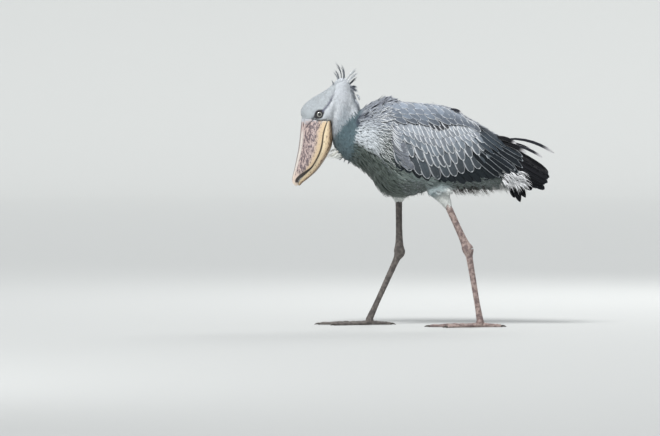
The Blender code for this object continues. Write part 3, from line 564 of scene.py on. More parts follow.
# The belly's grey is darkened by painted shade beneath the body and has a greenish painted reflection.
MANTLE, RUMP, SHADED_BELLY = shade(128, 134, 144), shade(58, 61, 69), shade(74, 86, 82)
UNDERTAIL, THIGH, SHIN = shade(250, 250, 251), shade(136, 150, 152), shade(222, 225, 221)
FLANK = shade(134, 149, 146)
WING_TIP = shade(30, 31, 36)
ORBIT, FOLD_SHADE = shade(40, 40, 44), shade(104, 106, 124)


def blended(*layers):
    """Colours laid one over another, each with its own share."""
    colour = np.zeros((len(skin_points), 3))
    for layer, share in layers:
        share = np.asarray(share)[..., None] * np.ones((len(skin_points), 1))
        colour = colour * (1 - share) + layer * share
    return colour


# The bare patch is a leaf shape round the eye, from low in front to high behind.
EYE_SLANT, PATCH_LONG, PATCH_HIGH = math.radians(38), 0.0205, 0.0132
along_patch = (drawn_x - EYE_DRAWN[0]) * math.cos(EYE_SLANT) + (drawn_z - EYE_DRAWN[1]) * math.sin(EYE_SLANT)
across_patch = (drawn_z - EYE_DRAWN[1]) * math.cos(EYE_SLANT) - (drawn_x - EYE_DRAWN[0]) * math.sin(EYE_SLANT)
orbit = abs(along_patch / PATCH_LONG) ** 1.5 + abs(across_patch / PATCH_HIGH) ** 1.5
bare = on_head * on_side * (1 - step(orbit, 0.85, 1.15))
creases = on_head * on_side * np.maximum(np.exp(-(lore_far / 0.0035) ** 2), np.exp(-(gape_far / 0.0022) ** 2))
fold_line = on_head * on_side * np.exp(-((over_fold - 0.0026) / 0.0034) ** 2)
low_front = step(around, 1.1, 2.2)
# The pale mane ends along a slant from the nape down to the throat.
MANE_EDGE = np.array([(-0.272, 0.604), (-0.257, 0.624), (-0.237, 0.654), (-0.200, 0.686), (-0.190, 0.700)])
over_mane_edge = drawn_z - np.interp(drawn_x, MANE_EDGE[:, 0], MANE_EDGE[:, 1])
mane = step(over_mane_edge, -0.007, 0.009) * (1 - step(skin_s, 12.0, 12.4))
# Shade is painted along this line, in the hollow under the shoulder's hump.
HOLLOW_LINE = ((-0.146, 0.690), (-0.124, 0.702))
hollow_far, _ = distance_to_line(drawn_x, drawn_z, *HOLLOW_LINE)
fold_far = distance_to_path(drawn_x, drawn_z, SHOULDER_FOLD)
band_far = distance_to_path(drawn_x, drawn_z, FLANK_BAND)
streaked_far, _ = distance_to_line(drawn_x, drawn_z, *STREAKED_BREAST)
at_tail = step(skin_s, 21.6, 22.6)
under_tail = step(skin_s, 20.2, 21.2) * (1 - at_tail) * step(around, 1.5, 2.1)
tint = blended(
    (CHEEK, 1.0),
    (CROWN, is_crown * (1 - step(skin_s, 5.0, 6.4))),
    (NAPE, step(skin_s, 7.6, 9.0) * (1 - step(around, 0.35, 0.9))),
    # Painted shade darkens the throat and the neck under the head.
    (SHADED_THROAT, step(skin_s, 7.2, 9.8) * step(around, 0.7, 1.5)),
    (SHADED_NECK, (1 - mane) * step(skin_s, 7.5, 8.5)),
    # Painted shade and a greenish painted reflection darken the breast.
    (SHADED_BREAST, step(skin_s, 12.0, 13.4) * step(around, 0.8, 1.4) * (1 - 0.15 * low_front)),
    (SHOULDER, 0.85 * step(skin_s, 12.2, 12.5) * (1 - step(skin_s, 13.6, 15.0)) * step(around, 0.5, 0.8)
     * (1 - step(around, 1.7, 2.0))),
    (MANTLE, step(skin_s, 12.1, 12.7) * (1 - step(around, 0.9, 1.5))),
    (RUMP, step(skin_s, 18.5, 21.5) * (1 - step(around, 1.2, 1.8))),
    # Painted shadows in the hollow under the hump and in the fold between the neck and the shoulder.
    (HOLLOW_SHADE, 0.8 * np.exp(-(hollow_far / 0.0036) ** 2) * (skin_s > 12.5)),
    (NECK_FOLD_SHADOW, 0.95 * np.exp(-(fold_far / 0.0065) ** 2) * step(around, 0.2, 0.4)),
    # Painted shade and a greenish painted reflection darken the belly.
    (SHADED_BELLY, step(skin_s, 14.2, 15.6) * step(around, 1.5, 2.2)),
    (FLANK, 0.9 * np.exp(-(band_far / 0.014) ** 2) * step(around, 1.3, 1.7) * (1 - step(around, 2.6, 2.9))),
    (UNDERTAIL, under_tail),
    (WING_TIP, at_tail),
    (THIGH, is_thigh * (1 - 0.8 * step(drawn_z, 0.422, 0.466))),
    (SHIN, is_thigh * (1 - step(drawn_z - 0.8 * (drawn_x - 0.060) * (side_of < 0), 0.408, 0.450))),
    (ORBIT, np.maximum(bare, 0.85 * creases)),
    (FOLD_SHADE, fold_line * step(drawn_z, 0.668, 0.676) * (1 - step(drawn_z, 0.705, 0.738))),
)
print("coat colours between", tint.min(axis=0).round(2), "and", tint.max(axis=0).round(2))

# %% The lie and the size of the small feathers
# Each row: place along the rings, then width, length and tilt of the feathers on the back and on the belly.
FEATHER_SIZES = (
    (0.0, 0.0016, 0.0045, 6, 0.0018, 0.0050, 8),
    (4.0, 0.0022, 0.0070, 6, 0.0026, 0.0080, 11),
    (7.0, 0.0028, 0.0120, 14, 0.0030, 0.0100, 12),
    (10.0, 0.0048, 0.0170, 8, 0.0044, 0.0140, 5),
    (12.0, 0.0066, 0.0200, 8, 0.0060, 0.0180, 5),
    (13.2, 0.0100, 0.0230, 9, 0.0090, 0.0220, 7),
    (16.0, 0.0135, 0.0280, 7, 0.0090, 0.0260, 6),
    (20.0, 0.0150, 0.0340, 6, 0.0095, 0.0290, 8),
    (23.0, 0.0120, 0.0300, 5, 0.0090, 0.0280, 8),
    (25.0, 0.0100, 0.0180, 5, 0.0080, 0.0180, 6),
)
sizes = np.array(FEATHER_SIZES)
back_sizes = np.stack([np.interp(skin_s, sizes[:, 0], sizes[:, k]) for k in (1, 2, 3)], axis=1)
belly_sizes = np.stack([np.interp(skin_s, sizes[:, 0], sizes[:, k]) for k in (4, 5, 6)], axis=1)
below = step(around, 0.9, 2.0)[:, None]
size = back_sizes * (1 - below) + belly_sizes * below
THIGH_SIZE, SHIN_SIZE, FACE_SIZE = (0.0070, 0.0130, 8), (0.0040, 0.0110, 12), (0.0013, 0.0034, 8)
low_thigh = is_thigh * (1 - step(drawn_z, 0.420, 0.450))
down_leg = step(off_body, 0.002, 0.026) * (1 - step(drawn_z, 0.425, 0.475))
shin = (1 - step(drawn_z, 0.385, 0.425))[:, None]
thigh_size = np.array(THIGH_SIZE) * (1 - shin) + np.array(SHIN_SIZE) * shin
size = size * (1 - low_thigh[:, None]) + thigh_size * low_thigh[:, None]
near_face = (on_head * (1 - step(np.minimum(from_eye, lore_far), 0.016, 0.034)))[:, None]
size = size * (1 - near_face) + np.array(FACE_SIZE) * near_face
FOREHEAD_PARTING, FOREHEAD_SIZE = 0.30, (0.0024, 0.0090, 9)
on_forehead = ((skin_s < FOREHEAD_PARTING) & (around < 1.9))[:, None]
size = np.where(on_forehead, FOREHEAD_SIZE, size)
size[:, 2] = np.radians(size[:, 2])

lie = on_body(skin_s + 0.05, skin_angle, 0.0) - on_body(skin_s - 0.05, skin_angle, 0.0)
lie /= np.linalg.norm(lie, axis=1)[:, None] + 1e-9
for side in SIDES:
    hip, end, *_ = leg_points(side)
    down = (end - hip) / np.linalg.norm(end - hip)
    own = (down_leg * (side_of == side))[:, None]
    lie = lie * (1 - own) + down * own
lie[:, 2] -= 0.30 * step(skin_s, 12, 14) * (1 - step(skin_s, 16, 20)) * step(around, 0.5, 1.2)
# The first feathers of the forehead lie forwards, over the edge of the horn.
lie = np.where(on_forehead, -lie, lie)
print("small feathers from", round(size[:, 1].min() * 1000, 1), "to", round(size[:, 1].max() * 1000, 1), "mm")


# %% [markdown]
# Unwrapping the skin
#
# The skin is laid out flat once. Every small feather later keeps the flat place of its root, so that the exported
# model can hold the colours of thousands of feathers in one picture without mixing them up.

# %% The skin laid flat
def unwrap(piece, name):
    """A flat layout of the piece's own shape, as a UV map."""
    piece.data.uv_layers.new(name=name)
    bpy.context.view_layer.objects.active = piece
    piece.select_set(True)
    bpy.ops.object.mode_set(mode="EDIT")
    bpy.ops.mesh.select_all(action="SELECT")
    bpy.ops.uv.smart_project(angle_limit=math.radians(66), island_margin=0.003)
    bpy.ops.object.mode_set(mode="OBJECT")
    piece.select_set(False)


def keep_value(mesh, name, kind, values):
    """Stores a value for each point of a mesh, for the finishes and for Geometry Nodes."""
    field = {"FLOAT": "value", "FLOAT_VECTOR": "vector", "FLOAT_COLOR": "color"}[kind]
    mesh.attributes.new(name, kind, "POINT").data.foreach_set(field, np.asarray(values, np.float32).ravel())


unwrap(skin, "OFBake")
keep_value(skin.data, "tint", "FLOAT_COLOR", np.hstack([tint, np.ones((len(tint), 1))]))
keep_value(skin.data, "lie", "FLOAT_VECTOR", lie)
keep_value(skin.data, "size", "FLOAT_VECTOR", size)
print("the skin is laid flat")

# %% [markdown]
# Small feathers
#
# A real bird has thousands of small feathers that overlap like tiles, each lying back along the body. They are
# copies of a few shapes, so Geometry Nodes suit them: points are scattered evenly on the skin, and a copy is set
# on each, turned to the lie of the coat, tilted a little and scaled. Every copy keeps its root's tint and its
# root's flat place. Combing particle hair would look alike, but such hair is lost when the model is exported.

# %% Shapes of small feathers
def leaf(outline, bow, ridge, turn=0.0, length=1.0, start=0.0):
    """A closed thin vane along y, three-sided across, with a pointed tip: points, faces and vane places."""
    points, vanes = [], []
    for t, half in outline:
        y, z = start + (length - start) * t, bow * math.sin(math.pi * min(t * 0.62, 1)) - 0.06
        if half == 0:
            points.append((0, y, z))
            vanes.append((0.5, t))
        else:
            points += [(-half, y, z), (0, y, z + ridge), (half, y, z)]
            vanes += [(0, t), (0.5, t), (1, t)]
    faces = [(0, 1, 2)]
    rings = len(outline) - 1
    for i in range(rings - 1):
        a = 3 * i
        faces += [(a, a + 3, a + 4, a + 1), (a + 1, a + 4, a + 5, a + 2), (a + 2, a + 5, a + 3, a)]
    a, tip = 3 * (rings - 1), len(points) - 1
    faces += [(a, tip, a + 1), (a + 1, tip, a + 2), (a + 2, tip, a)]
    points = np.array(points, float)
    cos, sin = math.cos(turn), math.sin(turn)
    points[:, 0], points[:, 1] = points[:, 0] * cos + points[:, 1] * sin, points[:, 1] * cos - points[:, 0] * sin
    return points, faces, vanes


def feather_shape(name, leaves):
    """One shape made of several leaves from the same root."""
    points, faces, vanes = [], [], []
    for made, its_faces, its_vanes in leaves:
        faces += [tuple(len(points) + k for k in face) for face in its_faces]
        points += made.tolist()
        vanes += its_vanes
    shape = object_from(name, points, faces, corner_maps={"vane": np.array(vanes)})
    shape.data.set_sharp_from_angle(angle=math.radians(60))
    bpy.context.scene.collection.objects.unlink(shape)
    return shape


OVAL = ((0, 0.16), (0.18, 0.38), (0.45, 0.50), (0.72, 0.42), (0.90, 0.22), (1, 0))
LANCE = ((0, 0.14), (0.25, 0.40), (0.50, 0.44), (0.80, 0.20), (1, 0))
BARB = ((0, 0.10), (0.45, 0.13), (1, 0))
SIDE_BARB = ((0, 0.05), (0.55, 0.12), (1, 0))


def family_of(name, shapes):
    """A collection of shapes that are copied at random."""
    family = bpy.data.collections.new(name)
    for i, leaves in enumerate(shapes):
        family.objects.link(feather_shape(f"{name}_{i}", leaves))
    return family


def with_barbs(outline, bow, turns, lengths):
    barbs = [leaf(SIDE_BARB, bow, 0.02, turn, length, 0.2) for turn, length in zip(turns, lengths)]
    return [leaf(outline, bow, 0.05), *barbs]


sleek = family_of("sleek", [
    with_barbs(OVAL, 0.10, (-0.16, 0.2), (0.98, 0.92)),
    with_barbs(OVAL, 0.12, (0.14, -0.24), (1.0, 0.86)),
    with_barbs(OVAL, 0.08, (-0.1, 0.12), (1.04, 1.02)),
])
lances = family_of("lances", [
    [leaf(LANCE, 0.12, 0.05)], [leaf(LANCE, 0.16, 0.05, 0.06)], [leaf(LANCE, 0.08, 0.05, -0.06)],
])
strands = family_of("strands", [
    [leaf(BARB, 0.10, 0.03, turn, length) for turn, length in zip(turns, (1, 0.85, 0.9, 0.75))]
    for turns in ((0, 0.2, -0.18, 0.36), (0.05, -0.22, 0.26, -0.4), (-0.04, 0.16, -0.3, 0.32))
])


# %% A tree that lays feathers
def feather_tree():
    """Geometry Nodes that scatter copies of a family on a skin, wherever a named share of the skin is above 0."""
    tree = bpy.data.node_groups.new("lay_feathers", "GeometryNodeTree")
    sockets = (("Skin", "Geometry"), ("Family", "Collection"), ("Region", "String"), ("Spacing", "Float"),
               ("Disorder", "Float"), ("Length", "Float"), ("Patch", "Float"), ("Seed", "Int"), ("Finish", "Material"))
    for name, kind in sockets:
        tree.interface.new_socket(name, in_out="INPUT", socket_type=f"NodeSocket{kind}")
    tree.interface.new_socket("Coat", in_out="OUTPUT", socket_type="NodeSocketGeometry")
    given = add(tree, "NodeGroupInput").outputs

    def kept(name, kind):
        return add(tree, "GeometryNodeInputNamedAttribute", {"Name": name}, data_type=kind).outputs["Attribute"]

    def chance(low, high, number, kind="FLOAT"):
        made = add(tree, "FunctionNodeRandomValue", {}, data_type=kind)
        low_socket, high_socket = [s for s in made.inputs if s.enabled and s.name in ("Min", "Max")]
        for socket, value in ((low_socket, low), (high_socket, high)):
            if isinstance(value, bpy.types.NodeSocket):
                tree.links.new(value, socket)
            else:
                socket.default_value = value
        seed = add(tree, "ShaderNodeMath", {0: given["Seed"], 1: float(number)}, operation="ADD").outputs[0]
        tree.links.new(seed, made.inputs["Seed"])
        return next(s for s in made.outputs if s.enabled)

    region = add(tree, "GeometryNodeInputNamedAttribute", {"Name": given["Region"]}, data_type="FLOAT")
    crowd = calc(tree, "DIVIDE", 1.0, calc(tree, "MULTIPLY", given["Spacing"], given["Spacing"]))
    scatter = add(tree, "GeometryNodeDistributePointsOnFaces", {
        "Mesh": given["Skin"], "Distance Min": given["Spacing"], "Density Max": crowd,
        "Density Factor": region.outputs["Attribute"], "Seed": given["Seed"]}, distribute_method="POISSON")
    turn = add(tree, "FunctionNodeAxesToRotation", {
        "Primary Axis": scatter.outputs["Normal"], "Secondary Axis": kept("lie", "FLOAT_VECTOR")},
        primary_axis="Z", secondary_axis="Y").outputs[0]
    width, length, tilt = add(tree, "ShaderNodeSeparateXYZ", {0: kept("size", "FLOAT_VECTOR")}).outputs
    disorder = given["Disorder"]
    back = calc(tree, "MULTIPLY", disorder, -1.0)
    pitch = calc(tree, "ADD", tilt, calc(tree, "MULTIPLY", chance(back, disorder, 11), 0.6))
    roll = calc(tree, "MULTIPLY", chance(back, disorder, 12), 0.8)
    lean = add(tree, "ShaderNodeCombineXYZ", {0: pitch, 1: roll, 2: chance(back, disorder, 13)}).outputs[0]
    euler = add(tree, "FunctionNodeEulerToRotation", {0: lean}).outputs[0]
    turned = add(tree, "FunctionNodeRotateRotation", {0: turn, 1: euler}, rotation_space="LOCAL").outputs[0]
    grown = calc(tree, "MULTIPLY", chance(0.82, 1.16, 14), given["Length"])
    tall = calc(tree, "MULTIPLY", length, grown)
    scale = add(tree, "ShaderNodeCombineXYZ", {
        0: calc(tree, "MULTIPLY", width, chance(0.85, 1.15, 15)), 1: tall, 2: tall}).outputs[0]
    family = add(tree, "GeometryNodeCollectionInfo", {
        "Collection": given["Family"], "Separate Children": True, "Reset Children": True}).outputs[0]
    copies = add(tree, "GeometryNodeInstanceOnPoints", {
        "Points": scatter.outputs["Points"], "Instance": family, "Pick Instance": True,
        "Instance Index": chance(0, 2, 16, "INT"), "Rotation": turned, "Scale": scale}).outputs[0]
    light = chance(0.88, 1.10, 17)
    tinted = mix_vectors(tree, kept("tint", "FLOAT_COLOR"), light)
    copies = add(tree, "GeometryNodeStoreNamedAttribute", {
        "Geometry": copies, "Name": "tint", "Value": tinted}, data_type="FLOAT_COLOR", domain="INSTANCE").outputs[0]
    copies = add(tree, "GeometryNodeStoreNamedAttribute", {
        "Geometry": copies, "Name": "root_place", "Value": kept("OFBake", "FLOAT_VECTOR")},
        data_type="FLOAT_VECTOR", domain="INSTANCE").outputs[0]
    meshes = add(tree, "GeometryNodeRealizeInstances", {0: copies}).outputs[0]
    inside = add(tree, "ShaderNodeVectorMath", {0: kept("vane", "FLOAT_VECTOR"), 1: (0.5, 0.5, 0)},
                 operation="SUBTRACT").outputs[0]
    patch = add(tree, "ShaderNodeVectorMath", {0: inside, "Scale": given["Patch"]}, operation="SCALE").outputs[0]
    flat = add(tree, "ShaderNodeVectorMath", {0: kept("root_place", "FLOAT_VECTOR"), 1: patch}).outputs[0]
    meshes = add(tree, "GeometryNodeStoreNamedAttribute", {
        "Geometry": meshes, "Name": "OFBake", "Value": flat}, data_type="FLOAT2", domain="CORNER").outputs[0]
    coat = add(tree, "GeometryNodeSetMaterial", {"Geometry": meshes, "Material": given["Finish"]}).outputs[0]
    tree.links.new(coat, add(tree, "NodeGroupOutput").inputs[0])
    return tree


def mix_vectors(tree, vector, factor):
    """A vector times a number."""
    return add(tree, "ShaderNodeVectorMath", {0: vector, "Scale": factor}, operation="SCALE").outputs[0]


lay_feathers = feather_tree()
print("feather tree:", len(lay_feathers.nodes), "nodes")

# %% Laying the small feathers
PATCH = 0.003


def coat_piece(name, region, family, spacing, disorder, length, seed, finish, *nodes):
    """One piece of the coat, grown on the skin where the region's share is above 0."""
    keep_value(skin.data, name, "FLOAT", np.clip(region, 0, 1))
    base = bpy.data.objects.new(name, skin.data)
    bpy.context.scene.collection.objects.link(base)
    layer = base.modifiers.new("feathers", "NODES")
    layer.node_group = lay_feathers
    values = {"Family": family, "Region": name, "Spacing": spacing, "Disorder": disorder, "Length": length,
              "Patch": PATCH, "Seed": seed, "Finish": finish}
    for socket in lay_feathers.interface.items_tree:
        if socket.name in values:
            layer[socket.identifier] = values[socket.name]
    apply_modifiers(base)
    base.data.name = name
    for spare in ("lie", "size", "root_place"):
        if spare in base.data.attributes:
            base.data.attributes.remove(base.data.attributes[spare])
    skin.data.attributes.remove(skin.data.attributes[name])
    return finished(base, *nodes)


not_eye = 1 - bare
fold_gap = 1 - 0.9 * fold_line * step(drawn_z, 0.668, 0.676) * (1 - step(drawn_z, 0.700, 0.725))
not_end = 1 - step(skin_s, 23.9, 24.4)
under_wing = step(drawn_x, -0.085, -0.055) * (1 - step(drawn_x, 0.27, 0.30)) * step(around, 0.95, 1.10)
wing_bottom = np.interp(drawn_x, (-0.09, -0.03, 0.06, 0.20, 0.30), (0.54, 0.485, 0.455, 0.465, 0.480))
under_wing = under_wing * step(drawn_z, wing_bottom, wing_bottom + 0.02) * (1 - low_thigh)
open_coat = (1 - under_wing) * not_eye * not_end
trunk = step(skin_s, 12.1, 12.5) * (1 - low_thigh)
shoulder = trunk * (1 - step(skin_s, 15.6, 16.4)) * step(around, 0.5, 0.8) * (1 - step(around, 1.75, 1.95))
# No plumes grow along the shoulder's fold, so the shadow painted on the skin there shows.
shoulder = shoulder * (1 - np.exp(-(fold_far / 0.0075) ** 2))
front_shoulder = 1 - step(drawn_x, -0.155, -0.125)
low_breast = trunk * (1 - step(skin_s, 15.4, 16.6)) * step(around, 1.75, 1.95)
streaked = low_breast * (1 - step(streaked_far, 0.012, 0.022))
low_breast = low_breast * (1 - streaked)
mantle = trunk * (1 - step(around, 1.0, 1.25)) * (1 - 0.8 * shoulder)
down = trunk * under_tail
belly = trunk * (1 - mantle) * (1 - shoulder) * (1 - down) * (1 - low_breast) * (1 - streaked)
pale_head = np.maximum(on_head, mane)
thigh = low_thigh
pieces = (
    ("crown_feathers", is_crown * not_eye, sleek, 0.0019, 0.06, 1.0, 3, plain_finish, "head"),
    ("cheek_feathers", pale_head * (1 - is_crown) * not_eye * fold_gap, strands, 0.0021, 0.20, 1.1, 5, soft_finish,
     "head"),
    ("neck_feathers", (1 - pale_head) * (1 - trunk), sleek, 0.0030, 0.07, 1.1, 7, shaded_neck_finish, "neck"),
    ("front_plumes", shoulder * front_shoulder, lances, 0.0044, 0.12, 1.20, 29, smooth_finish, "torso"),
    ("shoulder_plumes", shoulder * (1 - front_shoulder) * open_coat, lances, 0.0056, 0.10, 1.50, 11, plume_finish,
     "torso"),
    ("breast_plumes", low_breast * open_coat, lances, 0.0056, 0.18, 1.15, 12, shaded_breast_finish, "torso"),
    ("streaked_plumes", streaked * open_coat, lances, 0.0052, 0.16, 1.40, 31, streaked_finish, "torso"),
    ("mantle_feathers", mantle * open_coat, sleek, 0.0050, 0.14, 1.1, 13, plain_finish, "torso"),
    ("belly_feathers", belly * open_coat, sleek, 0.0048, 0.12, 1.2, 17, plain_finish, "torso"),
    ("tail_down", down, strands, 0.0034, 0.45, 1.5, 19, down_finish, "torso"),
    ("thigh_feathers", thigh, sleek, 0.0030, 0.10, 1.0, 23, plain_finish, "thigh_left", "thigh_right"),
)
for row in pieces:
    coat_piece(*row)

# %% The skin's finish
skin_finish, tree, shader = finish_named("skin", 0.8)
base = add(tree, "ShaderNodeAttribute", attribute_name="tint").outputs["Color"]
tree.links.new(mix(tree, ramp(tree, noise(tree, 400), 0.3, 0.7, 0.03, 0.16), base, (0.02, 0.02, 0.025)),
               shader.inputs["Base Color"])
tree.links.new(bump(tree, noise(tree, 900), 0.0004), shader.inputs["Normal"])
skin.data.materials.clear()
skin.data.materials.append(skin_finish)
finished(skin, "head", "neck", "torso", "thigh_left", "thigh_right")
for spare in ("lie", "size"):
    skin.data.attributes.remove(skin.data.attributes[spare])

# %% [markdown]
# Long feathers
#
# The wing, the shoulder, the tail and the loose ends of the back are made of big feathers, and each has its own
# place in the bird. They are laid out by rule, row by row, like tiles on a roof: the lowest row first, and each
# row above covers the roots of the one below. Each feather is a thin closed sheet that follows the flank, arched
# across, and a little higher at the edge that lies on its neighbour. Scattering would lose the neat rows, and
# modelling each by hand would take days.

# %% Sheets of feathers
ALONG = np.array([0, 0.12, 0.28, 0.45, 0.60, 0.73, 0.84, 0.92, 0.975, 1.0])
ACROSS = np.array([-1, -0.55, 0, 0.55, 1])
SHEET_SIDES = 2 * len(ACROSS) - 2
OUTLINES = {
    "round": np.array([0.35, 0.62, 0.84, 0.97, 1.0, 0.97, 0.84, 0.62, 0.34, 0.06]),
    "pointed": np.array([0.35, 0.60, 0.84, 0.98, 0.97, 0.86, 0.66, 0.44, 0.20, 0.03]),
    "long": np.array([0.40, 0.62, 0.80, 0.92, 1.0, 0.99, 0.90, 0.70, 0.42, 0.08]),
}
SHEET_THICKNESS = 0.0005
ragged = np.random.default_rng(41)


def sheet_piece(name, tops, normals, tints, finish, *nodes, slot="grey_plumage"):
    """One piece made of feathers. Each top is a grid of points along and across; the underside is added."""
    tops, normals = np.asarray(tops), np.asarray(normals)
    count, rows, columns = tops.shape[:3]
    unders = (tops - normals * SHEET_THICKNESS)[:, :, columns - 2:0:-1]
    rings = np.concatenate([tops, unders], axis=2)
    share = (ACROSS + 1) / 2
    share = np.concatenate([share, share[columns - 2:0:-1]])
    vane = np.stack(np.broadcast_arrays(share, ALONG[:, None]), axis=-1)
    vane = np.broadcast_to(vane, (count, rows, SHEET_SIDES, 2))
    cells = math.ceil(math.sqrt(count))
    cell = np.stack([np.arange(count) % cells, np.arange(count) // cells], axis=-1)[:, None, None]
    flat = (cell + 0.04 + 0.92 * vane) / cells
    faces = []
    for i in range(count):
        faces += ring_faces(rows, SHEET_SIDES, first=i * rows * SHEET_SIDES)
    colours = np.repeat(np.asarray(tints), rows * SHEET_SIDES, axis=0)
    maps = {"OFBake": flat.reshape(-1, 2), "vane": vane.reshape(-1, 2)}
    piece = object_from(name, rings.reshape(-1, 3), faces, finish, maps, colours)
    return finished(piece, *nodes, slot=slot)


def flank_sheets(side, roots, tips, half, lifts, outline, spacing, bend=0.02):
    """Grids for a row of feathers that follow one flank. Roots and tips are places in the drawing."""
    roots, tips = np.asarray(roots), np.asarray(tips)
    reach = tips - roots
    length = np.linalg.norm(reach, axis=1)[:, None]
    ahead = reach / length
    aside = np.stack([-ahead[:, 1], ahead[:, 0]], axis=-1)
    t, u = ALONG[None, :, None], ACROSS[None, None, :]
    count = len(roots)
    wide = half * ragged.uniform(0.94, 1.06, (count, 1, 1)) * OUTLINES[outline][None, :, None]
    wide = wide * (1 + 0.05 * ragged.uniform(-1, 1, (count, len(ALONG), len(ACROSS))) * abs(u))
    sway = bend * length[:, :, None] * np.sin(np.pi * t) + u * wide
    x = roots[:, None, None, 0] + reach[:, None, None, 0] * t + aside[:, None, None, 0] * sway
    z = roots[:, None, None, 1] + reach[:, None, None, 1] * t + aside[:, None, None, 1] * sway
    slope = LAP_HEIGHT / spacing
    lift = lifts[0] + (lifts[1] - lifts[0]) * t - slope * u * wide + ARCH * wide * (1 - u * u)
    lift = lift - TIP_DROOP * step(t, 0.82, 1.0)
    return on_flank(x, z, side, lift)


LAP_HEIGHT = 0.0022
ARCH = 0.10
TIP_DROOP = 0.0014


def flank_row(side, row):
    """Grids and tints for one row of the table below."""
    _, count, stations, half, lifts, colour, outline = row
    stations = np.asarray(stations, float)
    places = between(stations, np.linspace(0, len(stations) - 1, count))
    spacing = float(np.linalg.norm(np.diff(places[:, 2:], axis=0), axis=1).mean())
    places = places + ragged.uniform(-1, 1, places.shape) * (0.0014, 0.0014, 0.0030, 0.0030)
    tops, normals = flank_sheets(side, places[:, :2], places[:, 2:], half, lifts, outline, spacing)
    tints = shade(*colour) * ragged.uniform(0.78, 1.2, (count, 1))
    return tops, normals, tints


print("sheets for long feathers are ready")

# %% [markdown]
# The folded wing
#
# A folded wing shows, from below upwards, the ends of the flight feathers, one row of long greater coverts, two
# rows of median coverts, and small pale lesser coverts up to the shoulder. The innermost flight feathers, the
# tertials, stream over the black tips of the longest ones. A dark shell closes the wing under all of them, and its
# dark slate is painted shade for the gaps between them.

# %% The wing's shell
WING_OUTLINE = np.array([
    (-0.088, 0.596, 0.545), (-0.066, 0.619, 0.505), (-0.035, 0.626, 0.489), (0.013, 0.627, 0.467),
    (0.060, 0.628, 0.455), (0.107, 0.630, 0.452), (0.154, 0.616, 0.455), (0.202, 0.599, 0.463),
    (0.249, 0.577, 0.472), (0.296, 0.551, 0.480), (0.343, 0.515, 0.480), (0.360, 0.500, 0.484),
])
SHELL_COLUMNS, SHELL_LINES = 60, 24

# The shell's dark slate is painted shade: it shows as the dark gaps between the feathers laid over it.
shaded_shell_finish, tree, shader = finish_named("wing_shell", 0.85)
shader.inputs["Base Color"].default_value = (*shade(46, 50, 56), 1)


def wing_shell(side):
    x, v = np.meshgrid(np.linspace(WING_OUTLINE[0, 0], WING_OUTLINE[-1, 0], SHELL_COLUMNS),
                       np.linspace(0, 1, SHELL_LINES), indexing="ij")
    top = np.interp(x, WING_OUTLINE[:, 0], WING_OUTLINE[:, 1])
    bottom = np.interp(x, WING_OUTLINE[:, 0], WING_OUTLINE[:, 2])
    z = top + (bottom - top) * v
    u = (x - x.min()) / np.ptp(x)
    swell = np.sin(np.pi * v) ** 0.6 * np.sin(np.pi * np.minimum(1, u * 0.9 + 0.1)) ** 0.7
    outer, _ = on_flank(x, z, side, 0.0006 + 0.0028 * swell)
    inner, _ = on_flank(x, z, side, np.full(x.shape, -0.0020))
    rings = np.concatenate([outer, inner[:, ::-1]], axis=1)
    faces = ring_faces(SHELL_COLUMNS, 2 * SHELL_LINES)
    if side == RIGHT:
        faces = [face[::-1] for face in faces]
    around_ring = np.linspace(0, 1, 2 * SHELL_LINES)
    flat = np.stack(np.meshgrid(np.linspace(0.02, 0.98, SHELL_COLUMNS), around_ring, indexing="ij"), axis=-1)
    name = SIDES[side]
    shell = object_from(f"wing_shell_{name}", rings.reshape(-1, 3), faces, shaded_shell_finish,
                        {"OFBake": flat.reshape(-1, 2)})
    return finished(shell, f"wing_{name}", slot="slate_feathers")


for side in SIDES:
    wing_shell(side)

# %% Rows of the wing
# Each row: its name, how many feathers, their places as the root's x and z and the tip's x and z from front to
# rear, half a feather's width, its lift off the flank at the root and at the tip, its colour and its outline.
BLACK_ROWS = (
    ("primaries", 8, (
        (0.185, 0.510, 0.345, 0.448), (0.200, 0.525, 0.378, 0.438), (0.212, 0.545, 0.391, 0.450),
        (0.222, 0.565, 0.397, 0.468), (0.232, 0.580, 0.398, 0.485)), 0.0120, (0.0016, 0.0030), (22, 23, 27), "long"),
    ("secondaries", 17, (
        (-0.084, 0.545, -0.064, 0.492), (-0.030, 0.530, 0.030, 0.4605), (0.020, 0.525, 0.095, 0.4525),
        (0.100, 0.530, 0.178, 0.4570), (0.165, 0.540, 0.250, 0.4660), (0.210, 0.555, 0.306, 0.4780)),
     0.0115, (0.0018, 0.0036), (42, 49, 54), "long"),
)
GREATER_ROWS = (
    ("greater_coverts", 12, (
        (-0.083, 0.560, -0.0600, 0.5110), (-0.069, 0.560, -0.0315, 0.4910), (-0.041, 0.553, -0.0030, 0.4790),
        (-0.012, 0.545, 0.0250, 0.4665), (0.017, 0.545, 0.0535, 0.4662), (0.046, 0.552, 0.0820, 0.4720),
        (0.071, 0.556, 0.1070, 0.4755), (0.096, 0.563, 0.1325, 0.4830), (0.121, 0.567, 0.1575, 0.4885),
        (0.145, 0.570, 0.1830, 0.4950), (0.169, 0.580, 0.2080, 0.5070), (0.187, 0.592, 0.2270, 0.5225)),
     0.0150, (0.0034, 0.0068), (66, 75, 82), "round"),
)
